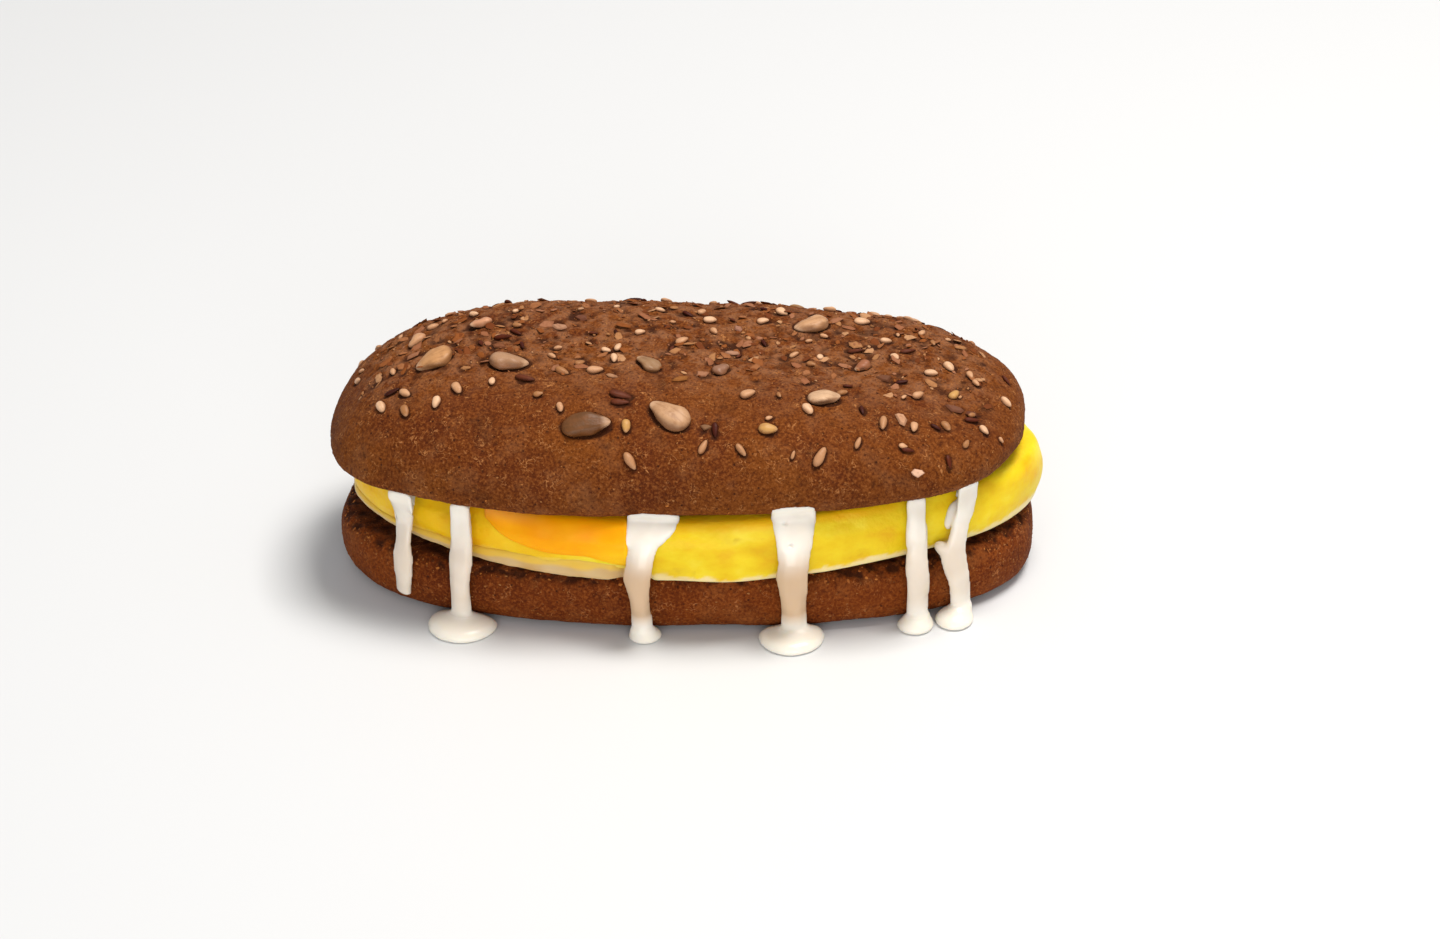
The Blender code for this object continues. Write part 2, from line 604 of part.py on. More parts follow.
def make_seed(name, size, segments, cuts, point):
    """A seed lying along X: an oval drawn out to a blunt point at one end."""
    length, width, thickness = size
    rings = []
    for cut in (-1.0, *cuts):
        swell = math.sqrt(1.0 - min(0.8, cut * cut)) * (1.0 - point * cut)
        ring = []
        for i in range(segments):
            angle = math.tau * i / segments
            across = width / 2.0 * swell * math.cos(angle)
            up = thickness / 2.0 * swell * math.sin(angle)
            ring.append((length / 2.0 * cut, across, up))
        rings.append(ring)
    return add_object(name, mesh_from_rings(name, rings, (length / 2.0, 0.0, 0.0)), BREAD)


def lay_on(obj, surface, x, y, turn, sink):
    """Lays a seed on the crown at X, Y, flat against its slope and sunk in by a share of its size."""
    hit, normal = surface.ray_cast(Vector((x, y, 0.2)), Vector((0.0, 0.0, -1.0)))[:2]
    across = normal.cross(Vector((math.cos(turn), math.sin(turn), 0.0))).normalized()
    along = across.cross(normal)
    turned = Matrix((along, across, normal)).transposed().to_4x4()
    obj.data.transform(Matrix.Translation(hit - normal * sink) @ turned)
    obj.data.update()


def seed_places(count, taken, rng):
    """Random places over the crown, thinner towards its edge, none too near another."""
    places = []
    while len(places) < count:
        x = CROWN_CENTRE[0] + rng.uniform(-1.0, 1.0) * 0.93 * CROWN_HALF_LENGTH
        y = CROWN_CENTRE[1] + rng.uniform(SOWN_FRONT, 0.93 * CROWN_HALF_WIDTH)
        u = abs(x - CROWN_CENTRE[0]) / CROWN_HALF_LENGTH
        v = abs(y - CROWN_CENTRE[1]) / CROWN_HALF_WIDTH
        scale = (u**CROWN_POWER + v**CROWN_POWER) ** (1.0 / CROWN_POWER)
        if rng.random() > 1.0 - smooth_step((scale - 0.6) / 0.4):
            continue
        if any(math.hypot(x - a, y - b) < room + SEED_CLEARANCE / 2.0 for a, b, room in taken):
            continue
        taken.append((x, y, SEED_CLEARANCE / 2.0))
        places.append((x, y))
    return places


def sow_seeds(crown):
    surface = surface_of(crown)
    rng = random.Random(RANDOM_SEED)
    taken, seeds = [], []
    for x, y, degrees, share in SUNFLOWER_PLACES:
        place = (CROWN_CENTRE[0] + x * MM, CROWN_CENTRE[1] + y * MM)
        size = [share * value for value in SUNFLOWER_SIZE]
        kernel = make_seed("sunflower", size, 8, (-0.62, 0.0, 0.62), 0.28)
        lay_on(kernel, surface, *place, math.radians(degrees), 0.1 * size[2])
        taken.append((*place, 0.55 * size[0]))
        seeds.append(kernel)
    lone = [(CROWN_CENTRE[0] + x * MM, CROWN_CENTRE[1] + y * MM) for x, y in LONE_SEEDS]
    taken += [(*place, SEED_CLEARANCE / 2.0) for place in lone]
    sesame = lone + seed_places(SESAME_COUNT, taken, rng)
    flax = seed_places(FLAX_COUNT, taken, rng)
    for places, size in ((sesame, SESAME_SIZE), (flax, FLAX_SIZE)):
        for x, y in places:
            seed = make_seed("seed", size, 6, (0.1,), 0.25)
            lay_on(seed, surface, x, y, rng.uniform(0.0, math.tau), 0.1 * size[2])
            seeds.append(seed)
    union_into(crown, seeds)


def main():
    clear_scene()
    root = bpy.data.objects.new("sandwich", None)
    bpy.context.scene.collection.objects.link(root)
    heel = make_heel(root)
    white_cheese = make_white_cheese(root)
    egg = make_egg(root)
    cheddar = make_cheddar(root)
    make_sauce(root, surface_of(heel, white_cheese, egg, cheddar))
    crown = make_crown(root)
    sow_seeds(crown)


main()
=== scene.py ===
import math
import random

import bpy
import numpy as np
from mathutils import Matrix, Vector, noise
from mathutils.bvhtree import BVHTree


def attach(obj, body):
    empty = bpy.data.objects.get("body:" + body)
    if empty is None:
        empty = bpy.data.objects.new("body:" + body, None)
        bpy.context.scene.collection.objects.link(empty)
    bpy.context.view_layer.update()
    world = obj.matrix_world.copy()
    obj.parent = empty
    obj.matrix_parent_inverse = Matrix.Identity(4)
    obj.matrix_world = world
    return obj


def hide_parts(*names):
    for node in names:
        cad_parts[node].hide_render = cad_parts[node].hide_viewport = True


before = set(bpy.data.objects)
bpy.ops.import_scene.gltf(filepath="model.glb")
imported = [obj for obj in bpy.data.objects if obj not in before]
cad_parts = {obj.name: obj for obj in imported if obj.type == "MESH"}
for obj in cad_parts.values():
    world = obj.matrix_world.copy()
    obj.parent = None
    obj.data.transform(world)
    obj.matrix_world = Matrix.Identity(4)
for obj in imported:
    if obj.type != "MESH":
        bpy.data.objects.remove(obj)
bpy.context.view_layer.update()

# A long dark bun with an egg patty, two cheeses and a white sauce. Sizes are in millimetres, apart from the
# studio's, which are in metres.
mm = 0.001
farOut = 90.0  # rays that look for a surface start this far from the middle

# Heights that the layers share
stack = {
    "air": 0.4,  # left between neighbouring layers
    "heelTop": 14.5,
    "seat": 30.4,  # the crown's cut face at the middle
    "seatLean": math.radians(1.0),
    "seatCurl": 2.1,  # over the patty's curled end the cut face curls up with it
    "seatCurlEnds": (-26.0, -62.0),
    "spread": 1.0,  # the sauce under the crown
}


def lerp(a, b, share):
    return a + (b - a) * share


def smoothStep(value):
    value = min(1.0, max(0.0, value))
    return value * value * (3.0 - 2.0 * value)


# Soft noise with lumps of one size. Each use has its own shift, so that no two run alike.
def lump(point, size, shift=0.0):
    return noise.noise(point / size + Vector((shift, shift, shift)))


# A point of an outline between an oval and a box: the higher its power, the squarer
def outlinePoint(halfLength, halfWidth, power, angle, centre):
    c, s = math.cos(angle), math.sin(angle)
    x = math.copysign(abs(c) ** (2.0 / power), c) * halfLength
    y = math.copysign(abs(s) ** (2.0 / power), s) * halfWidth
    return centre[0] + x, centre[1] + y


# The height of the crown's cut face
def seatHeight(x):
    start, end = stack["seatCurlEnds"]
    curl = stack["seatCurl"] * smoothStep((x - start) / (end - start))
    return stack["seat"] + math.tan(stack["seatLean"]) * x + curl


# How far along a run each of its points lies
def lengthsAlong(points):
    steps = np.linalg.norm(np.diff(points, axis=0), axis=1)
    return np.concatenate(([0.0], np.cumsum(steps)))


def placeAlong(points, along, distance):
    return np.interp(distance, along, points[:, 0]), np.interp(distance, along, points[:, 1])


# Points spread evenly along a smooth curve through a few given ones
def smoothRun(points, count):
    ends = np.array([points[0], *points, points[-1]], float)
    fine = []
    for a, b, c, d in zip(ends, ends[1:], ends[2:], ends[3:]):
        for t in np.arange(0.0, 1.0, 0.05):
            squared, cubed = (2 * a - 5 * b + 4 * c - d) * t**2, (3 * b - a - 3 * c + d) * t**3
            fine.append(0.5 * (2 * b + (c - a) * t + squared + cubed))
    fine = np.array([*fine, points[-1]], float)
    along = lengthsAlong(fine)
    return list(zip(*placeAlong(fine, along, np.linspace(0.0, along[-1], count))))


# A layer's side as an even run of insets, each with its share of the layer's thickness
def sideRun(layer, thickness):
    run = smoothRun([(inset, share * thickness) for inset, share in layer["side"]], layer["rows"])
    return [(inset, height / thickness) for inset, height in run]


def newMesh(name, points, faces):
    mesh = bpy.data.meshes.new(name)
    mesh.from_pydata(points, [], faces)
    return mesh


# A closed mesh through rings of points, the ends closed flat or with strips across from front to back
def meshFromRings(name, rings, strips=False):
    points = [point for ring in rings for point in ring]
    size = len(rings[0])
    faces = []
    for row in range(len(rings) - 1):
        low, high = row * size, (row + 1) * size
        for i in range(size):
            j = (i + 1) % size
            faces.append((low + i, low + j, high + j, high + i))
    first = len(points) - size
    if strips:
        for start, upward in ((0, False), (first, True)):
            for i in range((size - 1) // 2):
                corners = [start + k for k in dict.fromkeys((i, i + 1, size - 2 - i, size - 1 - i))]
                faces.append(corners if upward else corners[::-1])
    else:
        faces.append(tuple(range(size))[::-1])
        faces.append(tuple(range(first, first + size)))
    return newMesh(name, points, faces)


# The points round the edge of a grid, in order
def gridBorder(columns, rows):
    last = (rows - 1) * columns
    border = list(range(columns - 1)) + [i * columns + columns - 1 for i in range(rows - 1)]
    border += [last + j for j in range(columns - 1, 0, -1)]
    return border + [i * columns for i in range(rows - 1, 0, -1)]


# A closed mesh between two grids of points
def meshFromSheet(name, inner, outer):
    rows, columns = len(inner), len(inner[0])
    points = [point for grid in (inner, outer) for row in grid for point in row]
    faces = []
    back = rows * columns
    for i in range(rows - 1):
        for j in range(columns - 1):
            a, b = i * columns + j, (i + 1) * columns + j
            faces.append((a, b, b + 1, a + 1))
            faces.append((back + a, back + a + 1, back + b + 1, back + b))
    border = gridBorder(columns, rows)
    for a, b in zip(border, border[1:] + border[:1]):
        faces.append((a, b, back + b, back + a))
    return newMesh(name, points, faces)


# Moves each point along its normal by what depthAt gives for it, and keeps that value for the finish
def raiseSurface(mesh, depthAt, keep=None):
    normals = [v.vector.copy() for v in mesh.vertex_normals]
    values = []
    for vertex, normal in zip(mesh.vertices, normals):
        depth = depthAt(vertex.co, normal)
        vertex.co += normal * depth
        values.append(depth)
    if keep:
        keepValues(mesh, keep, values)
    mesh.update()


def keepValues(mesh, name, values):
    layer = mesh.attributes.new(name, "FLOAT", "POINT")
    layer.data.foreach_set("value", np.array(values, np.float32))


# The points and faces of several meshes as those of one
def gathered(meshes):
    points, faces = [], []
    for mesh in meshes:
        first = len(points)
        points += [vertex.co.copy() for vertex in mesh.vertices]
        faces += [[first + i for i in face.vertices] for face in mesh.polygons]
    return points, faces


def surfaceOf(*meshes):
    return BVHTree.FromPolygons(*gathered(meshes))


def pointsOf(mesh):
    points = np.empty(len(mesh.vertices) * 3)
    mesh.vertices.foreach_get("co", points)
    return points.reshape(-1, 3)


def movePoints(mesh, points):
    mesh.vertices.foreach_set("co", points.ravel())
    mesh.update()


# Turns a mesh in millimetres into a piece of the sandwich. Broken grain is angular and keeps its flat faces.
def addPiece(name, mesh, material, node, angular=False):
    mesh.transform(Matrix.Scale(mm, 4))
    if not angular:
        mesh.shade_smooth()
    mesh.materials.clear()
    mesh.materials.append(material)
    piece = bpy.data.objects.new(name, mesh)
    bpy.context.scene.collection.objects.link(piece)
    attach(piece, "root")
    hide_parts(node)
    print(f"{name}: {len(mesh.polygons)} faces")
    return piece


# Finishes. Patterns are sized in millimetres. The real crust's grain, bran and pores and the skin of seeds
# are about half as coarse as drawn here, too fine to show in the render.


def hexColour(value):
    channels = [int(value[i:i + 2], 16) / 255.0 for i in (1, 3, 5)]
    return (*[c / 12.92 if c <= 0.04045 else ((c + 0.055) / 1.055) ** 2.4 for c in channels], 1.0)


# A pattern's scale from the size of its features in millimetres
def perFeature(size):
    return 1.0 / (size * mm)


def addNode(tree, kind, settings=None, links=None):
    node = tree.nodes.new("ShaderNode" + kind)
    for name, value in (settings or {}).items():
        if name == "stops":
            while len(node.color_ramp.elements) < len(value):
                node.color_ramp.elements.new(0.5)
            for element, (place, colour) in zip(node.color_ramp.elements, value):
                element.position = place
                element.color = hexColour(colour)
        elif isinstance(name, int) or name in node.inputs.keys():
            node.inputs[name].default_value = value
        else:
            setattr(node, name, value)
    for name, source in (links or {}).items():
        tree.links.new(source, node.inputs[name])
    return node


def startMaterial(name, finish):
    material = bpy.data.materials.new(name)
    material.use_nodes = True
    tree = material.node_tree
    tree.nodes.clear()
    shader = addNode(tree, "BsdfPrincipled", finish)
    addNode(tree, "OutputMaterial", links={"Surface": shader.outputs["BSDF"]})
    return material, tree, shader


# The sockets of a colour mix
mixShare, mixFrom, mixTo, mixResult = 0, 6, 7, 2


# Rye and malt crust, baked dry: matt and finely grained, with short pale fibres of bran in loose patches
# and small dark pores. Painted shade darkens the hollows of the mesh's relief.
crustFinish = {
    # Noise by its size, detail, roughness and distortion
    "noises": {
        "cloud": (17.0, 3.0, 0.5, 0.0), "bloom": (7.0, 4.0, 0.6, 0.0), "husk": (3.2, 3.0, 0.6, 0.0),
        "patch": (2.6, 3.0, 0.5, 0.0), "curl": (1.3, 1.0, 0.5, 0.6), "grain": (0.65, 3.0, 0.7, 0.0),
    },
    "poreSize": 1.3, "bump": 0.35, "fibreHeight": 0.35, "poreDepth": 0.5,
}


def bakedRyeCrust(name, look):
    material, tree, shader = startMaterial(name, {"Roughness": 0.82, "Specular IOR Level": 0.12})
    place = addNode(tree, "TexCoord").outputs["Object"]
    field = {}
    for pattern, (size, detail, roughness, distortion) in crustFinish["noises"].items():
        settings = {"Scale": perFeature(size), "Detail": detail}
        settings.update({"Roughness": roughness, "Distortion": distortion})
        field[pattern] = addNode(tree, "TexNoise", settings, {"Vector": place}).outputs["Fac"]
    for pattern in ("crest", "relief", "crumb"):  # kept with the mesh
        field[pattern] = addNode(tree, "Attribute", {"attribute_name": pattern}).outputs["Fac"]
    cells = addNode(tree, "TexVoronoi", {"Scale": perFeature(crustFinish["poreSize"])}, {"Vector": place})
    field["cell"] = cells.outputs["Distance"]
    field["pick"] = addNode(tree, "SeparateColor", links={"Color": cells.outputs["Color"]}).outputs["Red"]
    field["height"] = addNode(tree, "SeparateXYZ", links={"Vector": place}).outputs["Z"]
    middle = addNode(tree, "Math", {"operation": "SUBTRACT", 1: 0.5}, {0: field["curl"]})
    field["fromMiddle"] = addNode(tree, "Math", {"operation": "ABSOLUTE"}, {0: middle.outputs[0]}).outputs[0]

    low, high = look["plainBelow"]
    for share, source, start, end, least, most in (
        ("dusky", "bloom", 0.50, 0.68, 0.0, 0.8), ("husks", "husk", 0.42, 0.60, 0.0, 0.75),
        ("pores", "grain", 0.50, 0.30, 0.0, look["contrast"]),
        ("crests", "grain", 0.50, 0.70, 0.0, look["contrast"]),
        ("fibres", "fromMiddle", 0.034, 0.010, 0.0, 1.0), ("full", "height", low * mm, high * mm, 0.6, 1.0),
        ("patches", "patch", 0.62 - look["fibres"], 0.74 - look["fibres"], 0.0, 1.0),
        ("spots", "cell", 0.26, 0.12, 0.0, 1.0), ("chosen", "pick", 0.78, 0.82, 0.0, 0.8),
        ("hollowShade", "relief", -0.06, -0.36, 0.0, 0.85),
    ):
        settings = {"From Min": start, "From Max": end, "To Min": least, "To Max": most}
        field[share] = addNode(tree, "MapRange", settings, {"Value": field[source]}).outputs[0]
    for share, one, other in (
        ("huskShare", "husks", "crest"), ("few", "fibres", "full"), ("bran", "few", "patches"),
        ("hole", "spots", "chosen"),
    ):
        product = addNode(tree, "Math", {"operation": "MULTIPLY"}, {0: field[one], 1: field[other]})
        field[share] = product.outputs[0]

    stops = ((0.34, look["deep"]), (0.66, look["warm"]))
    colour = addNode(tree, "ValToRGB", {"stops": stops}, {"Fac": field["cloud"]}).outputs["Color"]
    # Painted shade: the relief's hollows, the sunk rings round the seeds among them, are darkened towards
    # the pit tone
    for share, tint in (
        ("dusky", "dusky"), ("huskShare", "husk"), ("pores", "pore"), ("crests", "crest"), ("bran", "bran"),
        # The crumb tone is the dark crumb of the cut faces, partly painted shade, and painted shade along
        # the heel's foot
        ("hole", "pit"), ("hollowShade", "pit"), ("crumb", "crumb"),
    ):
        settings = {"data_type": "RGBA", mixTo: hexColour(look[tint])}
        colour = addNode(tree, "Mix", settings, {mixShare: field[share], mixFrom: colour}).outputs[mixResult]
    tree.links.new(colour, shader.inputs["Base Color"])

    height = field["grain"]
    for share, rise in (("bran", crustFinish["fibreHeight"]), ("hole", -crustFinish["poreDepth"])):
        settings = {"operation": "MULTIPLY_ADD", 1: rise}
        height = addNode(tree, "Math", settings, {0: field[share], 2: height}).outputs[0]
    bump = addNode(tree, "Bump", {"Strength": 0.9, "Distance": crustFinish["bump"] * mm}, {"Height": height})
    tree.links.new(bump.outputs["Normal"], shader.inputs["Normal"])
    return material


# Egg cooked firm in a mould: moist, bright and slightly see-through, with a pale skin along its foot
def softCookedEgg(look):
    material, tree, shader = startMaterial("softCookedEgg", {
        "Roughness": 0.42, "Specular IOR Level": 0.28, "IOR": 1.4,
        "Subsurface Weight": 0.35, "Subsurface Scale": 2.2 * mm, "Subsurface Radius": (1.0, 0.65, 0.15),
    })
    place = addNode(tree, "TexCoord").outputs["Object"]
    stretched = addNode(tree, "Mapping", {"Scale": (0.6, 0.6, 1.0)}, {"Vector": place})
    settings = {"Scale": perFeature(look["curdSize"]), "Detail": 3.0}
    curds = addNode(tree, "TexNoise", settings, {"Vector": stretched.outputs[0]}).outputs["Fac"]
    share = {}
    for kept in ("skin", "relief", "shoulder"):
        share[kept] = addNode(tree, "Attribute", {"attribute_name": kept}).outputs["Fac"]
    # Painted shade: the pits of its relief are darkened towards a deeper yellow
    settings = {"From Min": -0.20, "From Max": -0.55, "To Max": 0.6}
    share["pitShade"] = addNode(tree, "MapRange", settings, {"Value": share["relief"]}).outputs[0]
    colour = addNode(tree, "ValToRGB", {"stops": look["curds"]}, {"Fac": curds}).outputs["Color"]
    # The shoulder tint is painted shade under the crown, and the warmer left part
    for tint in ("skin", "pitShade", "shoulder"):
        settings = {"data_type": "RGBA", mixTo: hexColour(look[tint])}
        colour = addNode(tree, "Mix", settings, {mixShare: share[tint], mixFrom: colour}).outputs[mixResult]
    tree.links.new(colour, shader.inputs["Base Color"])
    settings = {"Scale": perFeature(look["grainSize"]), "Detail": 3.0}
    fine = addNode(tree, "TexNoise", settings, {"Vector": place})
    bump = addNode(tree, "Bump", {"Strength": 0.5, "Distance": 0.3 * mm}, {"Height": fine.outputs["Fac"]})
    tree.links.new(bump.outputs["Normal"], shader.inputs["Normal"])
    return material


# Sliced cheese, melted: smooth and oily, light passes into its edges
def meltedCheese(name, look):
    material, tree, shader = startMaterial(name, {
        "Roughness": look["roughness"], "Specular IOR Level": look["gloss"], "IOR": 1.45,
        "Subsurface Weight": 0.4, "Subsurface Scale": 2.0 * mm, "Subsurface Radius": look["radius"],
    })
    place = addNode(tree, "TexCoord").outputs["Object"]
    settings = {"Scale": perFeature(look["cloudSize"]), "Detail": 3.0}
    cloud = addNode(tree, "TexNoise", settings, {"Vector": place})
    stops = ((0.35, look["deep"]), (0.65, look["light"]))
    colour = addNode(tree, "ValToRGB", {"stops": stops}, {"Fac": cloud.outputs["Fac"]}).outputs["Color"]
    # The first tint is random pale patches on the pale slice and painted light along the cheddar's top; the
    # second the yellow of the melt
    for tint in ("edge", "melt"):
        kept = addNode(tree, "Attribute", {"attribute_name": tint}).outputs["Fac"]
        settings = {"data_type": "RGBA", mixTo: hexColour(look[tint])}
        colour = addNode(tree, "Mix", settings, {mixShare: kept, mixFrom: colour}).outputs[mixResult]
    tree.links.new(colour, shader.inputs["Base Color"])
    settings = {"Scale": perFeature(look["dimpleSize"]), "Detail": 2.0}
    fine = addNode(tree, "TexNoise", settings, {"Vector": place})
    bump = addNode(tree, "Bump", {"Strength": 0.2, "Distance": 0.25 * mm}, {"Height": fine.outputs["Fac"]})
    tree.links.new(bump.outputs["Normal"], shader.inputs["Normal"])
    return material


# Mayonnaise-like cream sauce: opaque white fat, glossy, softly lit from within. Where it runs thin over
# the heel the bread shows through and warms it.
def creamSauce(look):
    material, tree, shader = startMaterial("creamSauce", {
        "Roughness": 0.26, "Specular IOR Level": 0.5, "IOR": 1.46,
        "Subsurface Weight": 0.45, "Subsurface Scale": 1.8 * mm, "Subsurface Radius": (1.0, 0.8, 0.55),
    })
    place = addNode(tree, "TexCoord").outputs["Object"]
    settings = {"Scale": perFeature(look["cloudSize"]), "Detail": 2.0}
    cloud = addNode(tree, "TexNoise", settings, {"Vector": place})
    stops = ((0.35, look["deep"]), (0.65, look["light"]))
    colour = addNode(tree, "ValToRGB", {"stops": stops}, {"Fac": cloud.outputs["Fac"]}).outputs["Color"]
    # The pools are painted whiter: painted light where the sandwich shades them
    for tint in ("thin", "pool"):
        kept = addNode(tree, "Attribute", {"attribute_name": tint}).outputs["Fac"]
        settings = {"data_type": "RGBA", mixTo: hexColour(look[tint])}
        colour = addNode(tree, "Mix", settings, {mixShare: kept, mixFrom: colour}).outputs[mixResult]
    tree.links.new(colour, shader.inputs["Base Color"])
    settings = {"Scale": perFeature(look["rippleSize"]), "Detail": 2.0}
    fine = addNode(tree, "TexNoise", settings, {"Vector": place})
    bump = addNode(tree, "Bump", {"Strength": 0.15, "Distance": 0.2 * mm}, {"Height": fine.outputs["Fac"]})
    tree.links.new(bump.outputs["Normal"], shader.inputs["Normal"])
    return material


# Seeds and chips baked into the crust: each keeps its own tint, with painted shade on its sides and
# underside, darker toasted patches, fine lines along it and a paler tip
seedFinish = {"grainSize": 0.6, "lines": (0.18, 1.3, 0.6), "lineScale": 1.1, "lineHeight": 0.8}


def toastedSeed(name, look):
    finish = {"Roughness": look["roughness"], "Specular IOR Level": look["gloss"]}
    material, tree, shader = startMaterial(name, finish)
    place = addNode(tree, "TexCoord").outputs["Object"]
    kept = {}
    for value in ("tint", "inBody", "side", "tip"):
        kept[value] = addNode(tree, "Attribute", {"attribute_name": value})
    inBody = kept["inBody"].outputs["Vector"]
    drawnOut = addNode(tree, "Mapping", {"Scale": seedFinish["lines"]}, {"Vector": inBody})
    settings = {"Scale": seedFinish["lineScale"], "Detail": 3.0}
    lines = addNode(tree, "TexNoise", settings, {"Vector": drawnOut.outputs[0]})
    settings = {"Scale": perFeature(look["mottle"]), "Detail": 4.0, "Roughness": 0.6}
    mottle = addNode(tree, "TexNoise", settings, {"Vector": place})
    share = {}
    for part in ("side", "tip"):
        settings = {"operation": "MULTIPLY", 1: look[part]}
        share[part] = addNode(tree, "Math", settings, {0: kept[part].outputs["Fac"]}).outputs[0]
    for part, source, start, end in (("toast", mottle, 0.48, 0.72), ("streak", lines, 0.5, 0.34)):
        settings = {"From Min": start, "From Max": end, "To Max": look[part]}
        share[part] = addNode(tree, "MapRange", settings, {"Value": source.outputs["Fac"]}).outputs[0]
    colour = kept["tint"].outputs["Color"]
    for part, tint in (("side", "shade"), ("tip", "pale"), ("toast", "toasted"), ("streak", "toasted")):
        settings = {"data_type": "RGBA", mixTo: hexColour(look[tint])}
        colour = addNode(tree, "Mix", settings, {mixShare: share[part], mixFrom: colour}).outputs[mixResult]
    tree.links.new(colour, shader.inputs["Base Color"])
    settings = {"Scale": perFeature(seedFinish["grainSize"]), "Detail": 2.0}
    fine = addNode(tree, "TexNoise", settings, {"Vector": place})
    settings = {"operation": "MULTIPLY_ADD", 1: seedFinish["lineHeight"]}
    both = addNode(tree, "Math", settings, {0: lines.outputs["Fac"], 2: fine.outputs["Fac"]})
    bump = addNode(tree, "Bump", {"Strength": 0.35, "Distance": 0.2 * mm}, {"Height": both.outputs[0]})
    tree.links.new(bump.outputs["Normal"], shader.inputs["Normal"])
    return material


# The camera: where the photograph was taken from, with what is aimed at and its pixel of 1440 by 939

camera = {
    "elevation": 30.7, "turn": 2.6, "roll": -1.0, "lens": 98.1, "distance": 904.0,
    "aim": (0.0, 0.0, 25.0), "pixel": (685.0, 453.5), "picture": (1440.0, 939.0), "sensor": 36.0,
    "lookBelow": 16,  # pixels
}


# The camera's place and its axes: across the picture, up it and back from what it looks at
def cameraPlace():
    elevation, turn, roll = (math.radians(camera[key]) for key in ("elevation", "turn", "roll"))
    level = math.cos(elevation)
    away = Vector((math.sin(turn) * level, -math.cos(turn) * level, math.sin(elevation)))
    right = Vector((math.cos(turn), math.sin(turn), 0.0))
    up = away.cross(right)
    across = right * math.cos(roll) + up * math.sin(roll)
    upward = up * math.cos(roll) - right * math.sin(roll)
    perPixel = camera["distance"] * camera["sensor"] / camera["lens"] / camera["picture"][0]
    aside = (camera["pixel"][0] - camera["picture"][0] / 2.0) * perPixel
    above = (camera["picture"][1] / 2.0 - camera["pixel"][1]) * perPixel
    position = Vector(camera["aim"]) + away * camera["distance"] - across * aside - upward * above
    return position, across, upward, away


# Where a pixel of the picture lies on a surface. Past the surface's edge the nearest pixel below is taken.
def seenAt(surface, x, y):
    position, across, upward, away = cameraPlace()
    focal = camera["lens"] / camera["sensor"] * camera["picture"][0]
    right = x - camera["picture"][0] / 2.0
    for lower in range(camera["lookBelow"]):
        down = y + lower - camera["picture"][1] / 2.0
        hit, normal = surface.ray_cast(position, across * right - upward * down - away * focal)[:2]
        if hit:
            return hit, normal
    return None, None


def addCamera():
    position, across, upward, away = cameraPlace()
    data = bpy.data.cameras.new("camera")
    data.lens = camera["lens"]
    data.sensor_width = camera["sensor"]
    data.clip_start = 0.01
    viewer = bpy.data.objects.new("camera", data)
    bpy.context.scene.collection.objects.link(viewer)
    turned = Matrix((across, upward, away)).transposed().to_4x4()
    viewer.matrix_world = Matrix.Translation(position * mm) @ turned
    bpy.context.scene.camera = viewer


# The studio, in metres and watts

studio = {
    "key": {"at": (0.32, 0.12, 1.20), "size": (0.5, 0.5), "power": 16.5, "colour": "#fffaf4"},
    "front": {"at": (0.02, -1.47, 0.42), "size": (1.4, 0.6), "power": 11.5, "colour": "#ffffff"},
    "sky": 0.38, "skyColour": "#ffffff",
    "table": "#dadcde", "tableSize": 6.0,
}


def addStudio():
    for name in ("key", "front"):
        lamp = studio[name]
        data = bpy.data.lights.new(name, "AREA")
        data.shape = "RECTANGLE"
        data.size, data.size_y = lamp["size"]
        data.energy = lamp["power"]
        data.color = hexColour(lamp["colour"])[:3]
        light = bpy.data.objects.new(name, data)
        light.location = lamp["at"]
        light.rotation_euler = (-Vector(lamp["at"])).to_track_quat("-Z", "Y").to_euler()
        bpy.context.scene.collection.objects.link(light)
    world = bpy.data.worlds.new("softRoom")
    world.use_nodes = True
    background = world.node_tree.nodes["Background"]
    background.inputs["Color"].default_value = hexColour(studio["skyColour"])
    background.inputs["Strength"].default_value = studio["sky"]
    bpy.context.scene.world = world
    half = studio["tableSize"] / 2.0
    corners = [(-half, -half, 0.0), (half, -half, 0.0), (half, half, 0.0), (-half, half, 0.0)]
    mesh = newMesh("table", corners, [(0, 1, 2, 3)])
    finish = {"Base Color": hexColour(studio["table"]), "Roughness": 0.55}
    mesh.materials.append(startMaterial("paleTable", finish)[0])
    table = bpy.data.objects.new("table", mesh)
    bpy.context.scene.collection.objects.link(table)


# Heel of the bun

heel = {
    "halfLength": 80.2, "halfWidth": 38.0, "power": 2.5, "centre": (0.4, 0.0),
    # Insets up its side, each with its height
    "side": (
        (7.2, 0.0), (3.9, 0.35), (1.7, 1.5), (0.5, 3.5), (0.0, 6.6), (0.1, 9.6), (0.7, 12.0), (1.8, 13.7),
        (3.6, 14.5),
    ),
    "cutFace": (4.4, 5.2, 6.1, 7.1, 8.2, 9.5, 11.0, 13.0, 16.0),  # insets of its rings
    "lumpSize": 19.0, "lumpShare": 0.016,
    "segments": 800, "rows": 42,
    "dent": 0.16, "dentSize": 5.0, "grain": 0.07, "grainSize": 1.3, "evenBelow": 1.2,
    "tornFrom": 11.6, "tornRun": 2.0,  # above this the crust is torn where the bun was cut
    "torn": 0.5, "tornSize": 2.1, "tornFine": 0.5, "tornBack": 0.35,
    # The cut face is drawn in a dark crumb tone that is partly painted shade of the gap under the filling;
    # the dark share is painted shade along the foot, below the height after it
    "crumb": 0.9, "crumbFrom": 14.0, "crumbRun": 0.8,
    "dark": 0.6, "footShadeBelow": 1.8,
    "look": {
        "deep": "#5d2503", "warm": "#753509", "dusky": "#82461d", "pore": "#431702", "crest": "#93501f",
        "bran": "#a8683a", "pit": "#2c1004", "contrast": 0.8, "fibres": 0.08, "plainBelow": (0.0, 6.0),
        "crumb": "#3c1c0b", "husk": "#824a25",
    },
}


